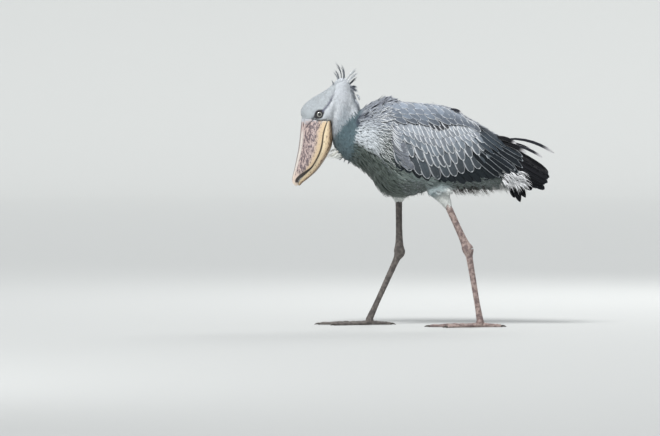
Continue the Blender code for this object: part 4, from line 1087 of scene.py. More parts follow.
COVERT_ROWS = (
    ("lower_median_coverts", 13, (
        (-0.079, 0.600, -0.0540, 0.5540), (-0.032, 0.586, -0.0030, 0.5230), (0.016, 0.566, 0.0460, 0.5010),
        (0.046, 0.566, 0.0760, 0.5020), (0.077, 0.573, 0.1070, 0.5100), (0.117, 0.588, 0.1480, 0.5260),
        (0.153, 0.600, 0.1860, 0.5420), (0.184, 0.614, 0.2190, 0.5600)),
     0.0132, (0.0046, 0.0086), (92, 100, 108), "pointed"),
    ("upper_median_coverts", 15, (
        (-0.076, 0.618, -0.0560, 0.5850), (-0.028, 0.608, -0.0030, 0.5570), (0.021, 0.590, 0.0470, 0.5350),
        (0.064, 0.596, 0.0910, 0.5450), (0.114, 0.604, 0.1420, 0.5570), (0.166, 0.615, 0.1980, 0.5760)),
     0.0116, (0.0056, 0.0098), (116, 125, 134), "pointed"),
    ("lesser_coverts_1", 17, (
        (-0.074, 0.628, -0.0580, 0.6030), (-0.020, 0.618, 0.0000, 0.5780), (0.030, 0.606, 0.0500, 0.5620),
        (0.080, 0.610, 0.1000, 0.5700), (0.128, 0.616, 0.1500, 0.5820), (0.160, 0.622, 0.1860, 0.5930)),
     0.0096, (0.0060, 0.0100), (136, 143, 152), "pointed"),
    ("lesser_coverts_2", 19, (
        (-0.074, 0.634, -0.0600, 0.6160), (-0.018, 0.628, 0.0000, 0.5960), (0.032, 0.622, 0.0500, 0.5850),
        (0.082, 0.625, 0.1000, 0.5920), (0.130, 0.630, 0.1500, 0.6010), (0.150, 0.630, 0.1740, 0.6060)),
     0.0086, (0.0060, 0.0098), (146, 153, 161), "pointed"),
    ("shaded_coverts", 4, (
        (0.020, 0.648, 0.0440, 0.6140), (0.040, 0.650, 0.0640, 0.6120), (0.060, 0.650, 0.0860, 0.6140)),
     0.0090, (0.0050, 0.0092), (44, 48, 56), "pointed"),
    ("lesser_coverts_3", 18, (
        (-0.068, 0.640, -0.0560, 0.6240), (-0.014, 0.638, 0.0000, 0.6130), (0.034, 0.634, 0.0500, 0.6050),
        (0.084, 0.636, 0.1000, 0.6110), (0.134, 0.640, 0.1560, 0.6170)),
     0.0082, (0.0040, 0.0080), (148, 155, 163), "pointed"),
    ("front_coverts", 9, (
        (-0.090, 0.630, -0.0660, 0.6040), (-0.090, 0.608, -0.0630, 0.5780), (-0.086, 0.584, -0.0570, 0.5520)),
     0.0082, (0.0036, 0.0108), (142, 148, 157), "pointed"),
)
TERTIAL_ROWS = (
    ("tertials", 7, (
        (0.150, 0.555, 0.2480, 0.4720), (0.160, 0.568, 0.2700, 0.4750), (0.172, 0.580, 0.2940, 0.4800),
        (0.182, 0.592, 0.3150, 0.4890), (0.190, 0.602, 0.3220, 0.5140), (0.186, 0.614, 0.2900, 0.5520)),
     0.0128, (0.0050, 0.0076), (26, 32, 37), "pointed"),
    ("edge_tertials", 2, (
        (0.168, 0.570, 0.2960, 0.4930), (0.176, 0.586, 0.3140, 0.5030), (0.184, 0.604, 0.3180, 0.5260)),
     0.0074, (0.0066, 0.0090), (36, 43, 49), "long"),
    ("upper_tertials", 4, (
        (0.150, 0.606, 0.2280, 0.5400), (0.166, 0.616, 0.2500, 0.5480), (0.182, 0.624, 0.2660, 0.5600)),
     0.0080, (0.0074, 0.0100), (64, 73, 81), "pointed"),
)
MARGINAL_ROWS = (
    ("marginal_coverts_1", 8, (
        (-0.084, 0.592, -0.0480, 0.5620), (-0.082, 0.574, -0.0420, 0.5420), (-0.074, 0.552, -0.0340, 0.5200),
        (-0.062, 0.530, -0.0240, 0.4960)), 0.0106, (0.0046, 0.0106), (108, 113, 122), "pointed"),
    ("marginal_coverts_2", 8, (
        (-0.094, 0.596, -0.0600, 0.5680), (-0.092, 0.576, -0.0560, 0.5460), (-0.085, 0.552, -0.0500, 0.5240),
        (-0.073, 0.528, -0.0380, 0.4980)), 0.0100, (0.0010, 0.0100), (120, 125, 134), "pointed"),
)


def flank_piece(name, side, rows, finish, *nodes, slot="grey_plumage"):
    """One piece for several rows of one side."""
    made = [flank_row(side, row) for row in rows]
    tops, normals, tints = (np.concatenate(parts) for parts in zip(*made))
    if side == RIGHT:
        tops, normals = tops[:, :, ::-1], normals[:, :, ::-1]
    return sheet_piece(f"{name}_{SIDES[side]}", tops, normals, tints, finish, *nodes, slot=slot)


for side, name in SIDES.items():
    wing = f"wing_{name}"
    flank_piece("flight_feathers", side, BLACK_ROWS, flight_finish, wing, slot="slate_feathers")
    flank_piece("greater_coverts", side, GREATER_ROWS, covert_finish, wing)
    flank_piece("small_coverts", side, COVERT_ROWS, lesser_finish, wing)
    flank_piece("tertials", side, TERTIAL_ROWS, tertial_finish, wing)
    flank_piece("marginal_coverts", side, MARGINAL_ROWS, plain_finish, wing)

# %% [markdown]
# Scapulars
#
# The scapulars grow from the shoulder and lie over the upper edge of the folded wing, like a shawl. They are the
# torso's feathers, darker than the small coverts, and their tips fray.

# %% Rows of the shoulder
SCAPULAR_ROWS = (
    ("lower_scapulars", 10, (
        (-0.098, 0.662, -0.0480, 0.6360), (-0.034, 0.660, 0.0180, 0.6290), (0.020, 0.664, 0.0780, 0.6280),
        (0.066, 0.668, 0.1220, 0.6300), (0.100, 0.660, 0.1600, 0.6230), (0.124, 0.652, 0.1880, 0.6040)),
     0.0105, (0.0040, 0.0116), (82, 90, 101), "pointed"),
    ("second_scapulars", 10, (
        (-0.104, 0.674, -0.0560, 0.6520), (-0.046, 0.672, 0.0040, 0.6450), (0.008, 0.676, 0.0580, 0.6450),
        (0.056, 0.680, 0.1060, 0.6450), (0.092, 0.670, 0.1480, 0.6340)),
     0.0108, (0.0032, 0.0100), (100, 110, 122), "pointed"),
    ("third_scapulars", 10, (
        (-0.112, 0.686, -0.0660, 0.6680), (-0.056, 0.684, -0.0080, 0.6620), (-0.002, 0.686, 0.0440, 0.6620),
        (0.044, 0.688, 0.0920, 0.6580), (0.084, 0.680, 0.1300, 0.6480)),
     0.0112, (0.0026, 0.0084), (118, 128, 141), "pointed"),
    ("upper_scapulars", 9, (
        (-0.122, 0.698, -0.0780, 0.6860), (-0.070, 0.698, -0.0220, 0.6800), (-0.014, 0.696, 0.0320, 0.6780),
        (0.036, 0.692, 0.0840, 0.6700)),
     0.0112, (0.0018, 0.0060), (132, 142, 155), "pointed"),
)
scapular_finish = feather_finish("scapular", shade(228, 233, 240), 0.34, 0.95, 0.035, barbs=30, root=0.3, comb_strength=0.1)
for side in SIDES:
    flank_piece("scapulars", side, SCAPULAR_ROWS, scapular_finish, "torso")

# %% [markdown]
# The tail and loose feathers
#
# The tail is a fan of long black feathers under the wing tips. Behind the back, a few loose feathers stand off
# in the wind. None of these lies on the flank, so each is given a bent line of its own through the air and a
# direction for its flat side.

# %% Feathers in the air
def air_sheet(root, bend, tip, half, outline, flat_way, twist=0.0, arch=0.08):
    """One grid along a bent line from root to tip. Its flat side faces flat_way as nearly as it can."""
    root, bend, tip = (np.array(p, float) for p in (root, bend, tip))
    t = ALONG[:, None]
    line = root * (1 - t) ** 2 + bend * 2 * t * (1 - t) + tip * t**2
    ahead = np.gradient(line, axis=0)
    ahead /= np.linalg.norm(ahead, axis=1)[:, None]
    way = np.array(flat_way, float)
    facing = way - ahead * (ahead @ way)[:, None]
    facing /= np.linalg.norm(facing, axis=1)[:, None]
    aside = np.cross(facing, ahead)
    turn = twist * t
    aside, facing = aside * np.cos(turn) + facing * np.sin(turn), facing * np.cos(turn) - aside * np.sin(turn)
    wide = half * OUTLINES[outline][:, None]
    top = line[:, None] + aside[:, None] * (ACROSS * wide)[..., None]
    top += facing[:, None] * (arch * wide * (1 - ACROSS**2))[..., None]
    return top + SHIFT, np.broadcast_to(facing[:, None], top.shape)


def air_piece(name, rows, finish, *nodes, slot="grey_plumage"):
    """One piece from rows of air_sheet's inputs, each followed by a colour."""
    tops, normals = zip(*(air_sheet(*row[:-1]) for row in rows))
    tints = [shade(*row[-1]) * ragged.uniform(0.88, 1.12) for row in rows]
    return sheet_piece(name, tops, normals, tints, finish, *nodes, slot=slot)


def mirrored(point, side):
    return (point[0], side * point[1], point[2])


# The fan from the middle pair out: each feather's root, bend and tip on the right side, and its half width.
TAIL_FAN = (
    ((0.270, 0.004, 0.524), (0.340, 0.006, 0.505), (0.404, 0.009, 0.468), 0.0150),
    ((0.272, 0.009, 0.512), (0.340, 0.014, 0.486), (0.398, 0.018, 0.452), 0.0150),
    ((0.274, 0.013, 0.500), (0.335, 0.021, 0.470), (0.388, 0.027, 0.431), 0.0150),
    ((0.274, 0.015, 0.495), (0.324, 0.025, 0.474), (0.366, 0.031, 0.438), 0.0140),
    ((0.276, 0.016, 0.490), (0.316, 0.029, 0.464), (0.347, 0.034, 0.429), 0.0140),
    ((0.276, 0.017, 0.484), (0.306, 0.031, 0.448), (0.328, 0.036, 0.405), 0.0150),
    ((0.276, 0.017, 0.478), (0.300, 0.032, 0.438), (0.311, 0.036, 0.391), 0.0150),
    ((0.274, 0.017, 0.474), (0.286, 0.032, 0.440), (0.293, 0.034, 0.404), 0.0135),
)
FAN_BLACK = (11, 12, 18)
FIRST_POINTED = 5
fan = []
for side in SIDES:
    for i, (root, bend, tip, half) in enumerate(TAIL_FAN):
        way = (0.12 * i, side, 0.9 - 0.16 * i)
        outline = "pointed" if i >= FIRST_POINTED else "long"
        fan.append((mirrored(root, side), mirrored(bend, side), mirrored(tip, side), half, outline, way, 0.0, 0.1,
                    FAN_BLACK))
air_piece("tail_feathers", fan, flight_finish, "tail", slot="slate_feathers")

# Loose feathers at the rear of the back: root, bend, tip, half width, outline, way, twist, arch, colour.
LOOSE = (
    ((0.250, -0.024, 0.586), (0.334, -0.032, 0.603), (0.418, -0.036, 0.545), 0.0050, "long", (0, -1, 0.7), 0.5, 0.1,
     (34, 36, 42)),
    ((0.262, -0.026, 0.576), (0.326, -0.034, 0.570), (0.380, -0.038, 0.532), 0.0046, "long", (0, -1, 0.5), 0.3, 0.1,
     (40, 42, 48)),
    ((0.250, 0.022, 0.580), (0.300, 0.028, 0.582), (0.352, 0.034, 0.553), 0.0042, "long", (0, 1, 0.7), -0.4, 0.1,
     (36, 38, 44)),
    ((0.226, -0.022, 0.594), (0.262, -0.028, 0.598), (0.300, -0.032, 0.573), 0.0085, "pointed", (0, -1, 0.8), 0.2, 0.1,
     (13, 14, 18)),
    ((0.234, -0.024, 0.584), (0.282, -0.032, 0.580), (0.330, -0.036, 0.545), 0.0095, "pointed", (0, -1, 0.5), 0.1, 0.1,
     (13, 14, 18)),
    ((0.226, 0.022, 0.594), (0.262, 0.028, 0.598), (0.304, 0.032, 0.572), 0.0085, "pointed", (0, 1, 0.8), -0.2, 0.1,
     (13, 14, 18)),
    ((0.234, 0.024, 0.584), (0.282, 0.032, 0.580), (0.330, 0.036, 0.545), 0.0095, "pointed", (0, 1, 0.5), -0.1, 0.1,
     (13, 14, 18)),
    ((0.092, -0.030, 0.684), (0.108, -0.034, 0.683), (0.127, -0.038, 0.672), 0.0060, "pointed", (0, -1, 1), 0.1, 0.1,
     (44, 47, 54)),
)
loose_finish = dull(feather_finish("loose_feather", shade(205, 204, 206), 0.10, 0.85, 0.12, barbs=60, root=0.9,
                                   sheen=0.0))
air_piece("loose_feathers", LOOSE, loose_finish, "tail")

# %% [markdown]
# Crest, wisps and frayed edges
#
# Where the coat ends in the air, it frays into single strands: the crest on the crown, the wisps under the chin,
# the shaggy hem of the belly and the white tuft under the tail. A strand is a thin bent tube, wide at its root
# and fine at its tip. A lock is a bundle of strands from one root.

# %% Strands
STRAND_STEPS, STRAND_SIDES = 7, 4


def strand_piece(name, strands, finish, *nodes, slot="grey_plumage"):
    """One piece from strands, each given as root, bend, tip, width and colour."""
    points, faces, flats, vanes, tints = [], [], [], [], []
    t = np.linspace(0, 1, STRAND_STEPS)
    cells = math.ceil(math.sqrt(len(strands)))
    for i, (root, bend, tip, width, colour) in enumerate(strands):
        share = t[:, None]
        line = root * (1 - share) ** 2 + bend * 2 * share * (1 - share) + tip * share**2
        wide = width / 2 * (1 - t * t) + 0.00012
        faces += ring_faces(STRAND_STEPS, STRAND_SIDES, first=i * STRAND_STEPS * STRAND_SIDES)
        points.append(tube_points(line + SHIFT, wide, wide * 0.4, STRAND_SIDES))
        vane = np.stack(np.broadcast_arrays(np.array([0.2, 0.5, 0.8, 0.5]), share), axis=-1).reshape(-1, 2)
        vanes.append(vane)
        flats.append((np.array([i % cells, i // cells]) + 0.1 + 0.8 * vane) / cells)
        tints.append(np.tile(colour, (len(vane), 1)))
    maps = {"OFBake": np.vstack(flats), "vane": np.vstack(vanes)}
    piece = object_from(name, np.vstack(points), faces, finish, maps, np.vstack(tints))
    return finished(piece, *nodes, slot=slot)


def lock(root, bend, tip, count, width, spread, colour):
    """Strands from about one root to about one tip."""
    root, bend, tip = (np.array(p, float) for p in (root, bend, tip))
    made = []
    for _ in range(count):
        off = ragged.normal(0, 1, 3)
        short = ragged.uniform(0.72, 1.0)
        end = root + (tip - root) * short + off * spread
        made.append((root + off * spread * 0.35, bend + off * spread * 0.7 + ragged.normal(0, 1, 3) * spread * 0.2, end,
                     width * ragged.uniform(0.7, 1.2), shade(*colour) * ragged.uniform(0.85, 1.1)))
    return made


strand_finish = feather_finish("strand", shade(214, 218, 224), 0.3, 0.3, 0.12, barbs=6, root=0.95)
hem_finish = feather_finish("brown_strand", shade(112, 108, 100), 0.3, 0.3, 0.12, barbs=6, root=0.7, sheen=0.0)
# The crest, lock by lock: root, bend, tip, how many strands, their spread and their colour.
CREST = (
    ((-0.252, 0.001, 0.768), (-0.246, 0.002, 0.808), (-0.272, 0.004, 0.836), 7, 0.0016, (92, 98, 106)),
    ((-0.246, -0.007, 0.768), (-0.236, -0.009, 0.808), (-0.254, -0.012, 0.830), 7, 0.0018, (112, 118, 126)),
    ((-0.260, -0.004, 0.766), (-0.264, -0.008, 0.790), (-0.279, -0.012, 0.804), 6, 0.0016, (176, 180, 184)),
    ((-0.258, 0.007, 0.766), (-0.258, 0.010, 0.796), (-0.272, 0.014, 0.812), 6, 0.0016, (104, 110, 118)),
    ((-0.243, 0.008, 0.768), (-0.240, 0.010, 0.796), (-0.248, 0.013, 0.814), 7, 0.0020, (128, 134, 140)),
    ((-0.240, -0.006, 0.768), (-0.226, -0.009, 0.792), (-0.202, -0.011, 0.811), 16, 0.0022, (240, 244, 246)),
    ((-0.236, -0.010, 0.762), (-0.222, -0.013, 0.784), (-0.198, -0.016, 0.800), 14, 0.0020, (236, 240, 243)),
    ((-0.234, 0.006, 0.762), (-0.224, 0.009, 0.780), (-0.202, 0.012, 0.797), 9, 0.0018, (222, 226, 230)),
    ((-0.230, 0.004, 0.756), (-0.216, 0.006, 0.772), (-0.200, 0.008, 0.784), 9, 0.0018, (96, 104, 112)),
    ((-0.224, -0.016, 0.744), (-0.210, -0.020, 0.746), (-0.198, -0.022, 0.734), 10, 0.0022, (206, 212, 220)),
    ((-0.222, -0.022, 0.752), (-0.210, -0.027, 0.750), (-0.202, -0.028, 0.738), 9, 0.0022, (70, 78, 90)),
    ((-0.224, -0.010, 0.752), (-0.212, -0.012, 0.758), (-0.200, -0.014, 0.752), 8, 0.0020, (104, 112, 124)),
    ((-0.224, 0.020, 0.752), (-0.214, 0.024, 0.758), (-0.200, 0.026, 0.752), 8, 0.0020, (140, 148, 158)),
    ((-0.276, -0.012, 0.758), (-0.276, -0.014, 0.768), (-0.284, -0.016, 0.774), 6, 0.0014, (170, 176, 182)),
)
strands_made = []
for root, bend, tip, count, spread, colour in CREST:
    strands_made += lock(root, bend, tip, 2 * count, 0.0030, spread, colour)
strand_piece("crest_strands", strands_made, strand_finish, "head")

# Wisps under the chin and at the nape, and the hem of the belly: the same numbers as the crest's.
WISPS = (
    ((-0.264, -0.010, 0.560), (-0.276, -0.016, 0.552), (-0.292, -0.020, 0.546), 10, 0.0026, (244, 246, 240)),
    ((-0.260, -0.014, 0.552), (-0.272, -0.020, 0.540), (-0.296, -0.024, 0.532), 12, 0.0028, (250, 250, 240)),
    ((-0.252, -0.018, 0.544), (-0.264, -0.024, 0.534), (-0.284, -0.028, 0.528), 10, 0.0028, (244, 246, 240)),
    ((-0.246, -0.014, 0.538), (-0.256, -0.020, 0.530), (-0.270, -0.022, 0.530), 5, 0.0024, (214, 218, 212)),
    ((-0.244, 0.004, 0.536), (-0.252, 0.004, 0.526), (-0.262, 0.004, 0.522), 5, 0.0020, (110, 116, 118)),
    ((-0.238, -0.014, 0.532), (-0.238, -0.018, 0.522), (-0.244, -0.020, 0.514), 5, 0.0020, (96, 102, 106)),
    ((-0.226, 0.008, 0.524), (-0.226, 0.010, 0.514), (-0.230, 0.012, 0.508), 5, 0.0020, (92, 98, 102)),
    ((-0.202, -0.014, 0.728), (-0.194, -0.018, 0.722), (-0.192, -0.020, 0.708), 7, 0.0020, (196, 202, 208)),
    ((-0.206, -0.020, 0.712), (-0.198, -0.026, 0.702), (-0.194, -0.028, 0.690), 7, 0.0020, (188, 194, 202)),
    ((-0.146, -0.008, 0.702), (-0.130, -0.010, 0.716), (-0.110, -0.010, 0.731), 6, 0.0030, (206, 209, 206)),
    ((0.018, -0.012, 0.694), (0.034, -0.013, 0.696), (0.044, -0.013, 0.706), 6, 0.0014, (236, 238, 240)),
)
strands_made = []
for root, bend, tip, count, spread, colour in WISPS:
    strands_made += lock(root, bend, tip, 2 * count, 0.0026, spread, colour)
strand_piece("wisps", strands_made, strand_finish, "neck")


def hem(start, end, count, reach, drift, colour):
    """Locks in a row that hang from the belly between two places of the drawing."""
    made = []
    for share in np.linspace(0, 1, count):
        x, z = (a + (b - a) * share for a, b in zip(start, end))
        y = ragged.uniform(-0.035, 0.035)
        x = x + ragged.uniform(-0.006, 0.006)
        low = reach * ragged.uniform(0.5, 1.0)
        root, tip = (x, y, z + 0.008), (x + drift * low, y * 1.1, z - low)
        made += lock(root, (x + drift * low * 0.3, y * 1.1, z - low * 0.4), tip, 7, 0.0020, 0.0028, colour)
    return made


strands_made = hem((-0.125, 0.434), (-0.080, 0.414), 9, 0.018, 0.4, (150, 158, 160))
strands_made += hem((-0.060, 0.412), (0.000, 0.422), 12, 0.012, 0.6, (120, 126, 122))
strands_made += hem((0.076, 0.440), (0.160, 0.438), 24, 0.036, 0.7, (58, 54, 48))
strands_made += hem((0.120, 0.438), (0.215, 0.438), 18, 0.036, 0.8, (84, 82, 78))
strand_piece("belly_hem", strands_made, hem_finish, "torso")
pale_hem = hem((0.222, 0.440), (0.272, 0.444), 22, 0.030, 0.7, (196, 197, 195))
strand_piece("pale_hem", pale_hem, down_finish, "torso")

tuft = []
for _ in range(420):
    x, z = ragged.uniform(0.255, 0.318), ragged.uniform(0.448, 0.488)
    y = LEFT * ragged.uniform(0.026, 0.044) * ragged.choice((1, -1))
    root = np.array((x, y, z))
    slant = ragged.uniform(0.35, 1.25)
    length = ragged.uniform(0.024, 0.046)
    tip = root + np.array((math.cos(slant), y * 6 * ragged.uniform(0.2, 1.2), -math.sin(slant))) * length
    bend = (root + tip) / 2 + np.array((0.004, y * 0.25, 0.006))
    tuft.append((root, bend, tip, 0.0056, shade(250, 251, 253) * ragged.uniform(0.90, 1.0)))
strand_piece("white_tuft", tuft, down_finish, "torso")

# %% [markdown]
# The bill
#
# The bill is two bony troughs under horn: the upper one has a raised ridge with a groove on each side and a hooked
# nail, and the lower one fits under its edge. Rings along the bill, with many points round each, give smooth
# horn. The same numbers as in the solid model keep every edge in place.

# %% The bill's form
UPPER_BILL = (
    (-0.3760, 0.6540, -0.2941, 0.6453, 0.0460),
    (-0.378, 0.636, -0.301, 0.627, 0.0490),
    (-0.380, 0.614, -0.307, 0.603, 0.0510),
    (-0.383, 0.583, -0.311, 0.573, 0.0510),
    (-0.387, 0.554, -0.318, 0.547, 0.0485),
    (-0.392, 0.529, -0.332, 0.518, 0.0430),
    (-0.397, 0.504, -0.348, 0.495, 0.0350),
    (-0.402, 0.482, -0.367, 0.477, 0.0240),
    (-0.406, 0.463, -0.383, 0.461, 0.0130),
    (-0.403, 0.449, -0.3865, 0.4505, 0.0070),
    (-0.394, 0.441, -0.3840, 0.4455, 0.0032),
)
LOWER_BILL = (
    (-0.2943, 0.6453, -0.2830, 0.6440, 0.0445),
    (-0.3012, 0.627, -0.280, 0.622, 0.0470),
    (-0.3072, 0.603, -0.278, 0.596, 0.0485),
    (-0.3112, 0.573, -0.281, 0.567, 0.0480),
    (-0.3182, 0.547, -0.293, 0.540, 0.0450),
    (-0.3320, 0.518, -0.312, 0.510, 0.0390),
    (-0.3480, 0.4945, -0.331, 0.486, 0.0310),
    (-0.3670, 0.4765, -0.354, 0.466, 0.0200),
    (-0.3810, 0.4620, -0.372, 0.452, 0.0100),
    (-0.3862, 0.4530, -0.379, 0.445, 0.0050),
    (-0.3895, 0.4470, -0.384, 0.4415, 0.0030),
)
# Half of each section, from the mouth line out to the ridge or the keel: shares of the half width and the depth.
UPPER_SECTION = ((1, 0), (0.995, 0.18), (0.95, 0.38), (0.83, 0.58), (0.62, 0.76), (0.38, 0.875), (0.26, 0.895),
                 (0.17, 0.975), (0, 1))
LOWER_SECTION = ((1, 0), (0.97, 0.34), (0.86, 0.66), (0.55, 0.92), (0, 1))
BILL_RINGS, HALF_POINTS = 96, 29
NOSTRIL = np.array((-0.3695, 0.0140, 0.634))
NOSTRIL_SIZE = (0.0042, 0.0030, 0.0085)
BILL_START = -0.35


def bill_points(stations, section, way):
    """Rings of one half of the bill, with a map of how far along and how far up from the mouth each point is."""
    places = np.linspace(0, 1, BILL_RINGS) ** 0.85 * (len(stations) - 1)
    ax, az, bx, bz, half = between(stations, places).T
    far, near = (np.stack([ax, 0 * ax, az], -1), np.stack([bx, 0 * bx, bz], -1))[::way]
    profile = between(section, np.linspace(0, len(section) - 1, HALF_POINTS))
    profile = np.clip(profile, 0, (1, 1))
    wide = np.concatenate([profile[:, 0], -profile[-2::-1, 0]])
    tall = np.concatenate([profile[:, 1], profile[-2::-1, 1]])
    points = near[:, None] + (far - near)[:, None] * tall[:, None]
    points[..., 1] += half[:, None] * wide
    if way == 1:
        off = (points - NOSTRIL * np.sign(points[..., 1:2] + 1e-9) ** (0, 1, 0)) / NOSTRIL_SIZE
        dent = np.clip(1 - (off**2).sum(-1), 0, 1) ** 0.5
        points[..., 1] -= np.sign(points[..., 1]) * dent * 0.0035
    else:
        dent = np.zeros(points.shape[:2])
    along = np.broadcast_to((places / places[-1])[:, None], tall.shape[:0] + (len(places), len(tall)))
    return points + SHIFT, along, np.broadcast_to(tall, along.shape), dent


def bill_half(name, stations, section, way, finish, node):
    points, along, up, dent = bill_points(stations, section, way)
    count = points.shape[1]
    faces = ring_faces(BILL_RINGS, count)
    if way == -1:
        faces = [face[::-1] for face in faces]
    share = np.linspace(0, 1, count)
    flat = np.stack([0.02 + 0.96 * np.broadcast_to(share, along.shape), 0.02 + 0.96 * along], -1)
    zones = np.stack([along, up], -1)
    # The depth of the nostril's dent travels as the tint, for the shade painted in it.
    tints = np.repeat(np.clip(dent.reshape(-1, 1) * 1.4, 0, 1), 3, axis=1)
    maps = {"OFBake": flat.reshape(-1, 2), "zones": zones.reshape(-1, 2)}
    piece = object_from(name, points.reshape(-1, 3), faces, finish, maps, tints)
    return finished(piece, node, slot="bill_horn")


# %% [markdown]
# The horn's finish
#
# The horn is pinkish straw, creamier along the mouth, with slate blotches that run along the middle of each side.
# Blotches need edges that wander, so two sizes of noise are stretched along the bill and cut off at a level that
# depends on how far up the side a spot lies.

# %% The horn's finish
def horn_finish(name, upper):
    made, tree, shader = finish_named(name, 0.42, coat=0.15)
    zones = add(tree, "ShaderNodeAttribute", attribute_name="zones").outputs["Vector"]
    along, up, _ = add(tree, "ShaderNodeSeparateXYZ", {0: zones}).outputs
    nostril_shade = add(tree, "ShaderNodeAttribute", attribute_name="tint").outputs["Fac"]
    place = add(tree, "ShaderNodeTexCoord").outputs["Object"]
    drawn_out = add(tree, "ShaderNodeVectorMath", {0: place, 1: (1.0, 1.0, 0.38)}, operation="MULTIPLY").outputs[0]
    blotches = noise(tree, 240.0, 5.0, drawn_out, 0.70)
    fine = noise(tree, 640.0, 3.0, drawn_out, 0.6)
    if upper:
        band = calc(tree, "MULTIPLY", ramp(tree, up, 0.06, 0.36), ramp(tree, up, 0.78, 0.92, 1.0, 0.0))
        band = calc(tree, "MULTIPLY", band, ramp(tree, along, 0.62, 0.80, 1.0, 0.0))
        base = mix(tree, ramp(tree, up, 0.08, 0.40), shade(222, 198, 162), shade(196, 176, 170))
        stripe = calc(tree, "MULTIPLY", ramp(tree, up, 0.83, 0.88), ramp(tree, along, 0.14, 0.26))
        base = mix(tree, stripe, base, shade(218, 210, 202))
        base = mix(tree, ramp(tree, along, 0.58, 0.84, 0.0, 0.75), base, shade(232, 212, 194))
        ridge = ramp(tree, up, 0.93, 0.975)
        base = mix(tree, calc(tree, "MULTIPLY", ridge, 0.80), base, shade(116, 104, 104))
        level = calc(tree, "MULTIPLY_ADD", band, -0.20, 0.66)
    else:
        band = ramp(tree, up, 0.40, 0.85)
        base = mix(tree, ramp(tree, up, 0.1, 0.8), shade(250, 230, 194), shade(228, 198, 160))
        level = calc(tree, "MULTIPLY_ADD", band, -0.13, 0.585)
    cut = add(tree, "ShaderNodeMapRange", {
        "Value": blotches, "From Min": level, "From Max": calc(tree, "ADD", level, 0.05)},
        interpolation_type="SMOOTHSTEP").outputs["Result"]
    dark = shade(80, 70, 78) if upper else shade(120, 82, 66)
    colour = mix(tree, calc(tree, "MULTIPLY", cut, 0.85), base, dark)
    colour = mix(tree, ramp(tree, fine, 0.56, 0.70, 0.0, 0.5), colour, dark)
    lip = ramp(tree, up, calc(tree, "MULTIPLY", along, 0.05), calc(tree, "MULTIPLY_ADD", along, 0.10, 0.045), 1.0, 0.0)
    colour = mix(tree, calc(tree, "MULTIPLY", lip, 0.9), colour, shade(52, 36, 32))
    if upper:
        nail = calc(tree, "MULTIPLY", ramp(tree, along, 0.80, 0.90), ramp(tree, up, 0.35, 0.6))
        colour = mix(tree, nail, colour, shade(238, 222, 206))
        bare = calc(tree, "SUBTRACT", ramp(tree, up, 0.48, 0.92, 0.0, 0.070), along)
        bare = calc(tree, "ADD", bare, ramp(tree, blotches, 0.3, 0.7, -0.045, 0.045))
        colour = mix(tree, ramp(tree, bare, -0.045, 0.040), colour, shade(180, 183, 188))
        slant = calc(tree, "ABSOLUTE", calc(tree, "SUBTRACT", calc(tree, "MULTIPLY_ADD", up, 0.69, -0.386), along))
        crease = calc(tree, "MULTIPLY", ramp(tree, slant, 0.008, 0.026, 1.0, 0.0), ramp(tree, up, 0.72, 0.78, 1.0, 0.0))
        colour = mix(tree, calc(tree, "MULTIPLY", crease, 0.85), colour, shade(50, 46, 50))
        # Near the tip the mouth line widens into a nearly black wedge: painted shadow in the gap between the hook and
        # the lower half.
        reach = ramp(tree, along, 0.50, 0.82, 0.0, 0.54)
        mouth_gap_shadow = ramp(tree, calc(tree, "SUBTRACT", up, reach), -0.05, 0.03, 1.0, 0.0)
        mouth_gap_shadow = calc(tree, "MULTIPLY", mouth_gap_shadow, ramp(tree, along, 0.86, 0.90, 1.0, 0.0))
        colour = mix(tree, calc(tree, "MULTIPLY", mouth_gap_shadow, 0.95), colour, shade(20, 15, 18))
        # The nostril's dent is painted nearly black: shade inside the slit.
        colour = mix(tree, nostril_shade, colour, shade(30, 24, 24))
    else:
        keel = calc(tree, "MULTIPLY", ramp(tree, up, 0.52, 0.96), ramp(tree, along, 0.22, 0.66, 0.45, 0.85))
        colour = mix(tree, keel, colour, shade(98, 82, 58))
    tree.links.new(colour, shader.inputs["Base Color"])
    relief = bump(tree, noise(tree, 260.0, 4.0, drawn_out, 0.6), 0.0005, 0.7)
    tree.links.new(bump(tree, fine, 0.00012, under=relief), shader.inputs["Normal"])
    return made


bill_half("bill_upper_horn", UPPER_BILL, UPPER_SECTION, 1, horn_finish("upper_horn", True), "bill_upper")
bill_half("bill_lower_horn", LOWER_BILL, LOWER_SECTION, -1, horn_finish("lower_horn", False), "bill_lower")

# %% [markdown]
# The eyes
#
# The eye is a glassy ball with a black pupil in a pale iris, set in dark bare skin. Its pattern is rings round the
# way it looks, so the ball's pole points that way and the finish reads how far from the pole a spot lies.

# %% Eyes and lids
EYE_RADIUS, EYE_ROWS, EYE_SIDES = 0.0130, 40, 48
PUPIL_EDGE, IRIS_EDGE = 0.125, 0.225
LID_RADIUS, LID_HALF = 0.0113, 0.0021

eye_finish, tree, shader = finish_named("eye", 0.08, coat=1.0)
away = add(tree, "ShaderNodeSeparateXYZ", {
    0: add(tree, "ShaderNodeAttribute", attribute_name="look").outputs["Vector"]}).outputs[1]
streaks = noise(tree, 1500.0, 4.0)
iris = mix(tree, ramp(tree, streaks, 0.35, 0.65), shade(118, 118, 112), shade(184, 184, 176))
iris = mix(tree, ramp(tree, away, 0.15, IRIS_EDGE), iris, shade(96, 96, 88))
iris = mix(tree, ramp(tree, away, IRIS_EDGE - 0.01, IRIS_EDGE + 0.015), iris, shade(26, 24, 26))
iris = mix(tree, ramp(tree, away, PUPIL_EDGE - 0.008, PUPIL_EDGE + 0.008, 1.0, 0.0), iris, (0.003, 0.003, 0.004))
tree.links.new(iris, shader.inputs["Base Color"])

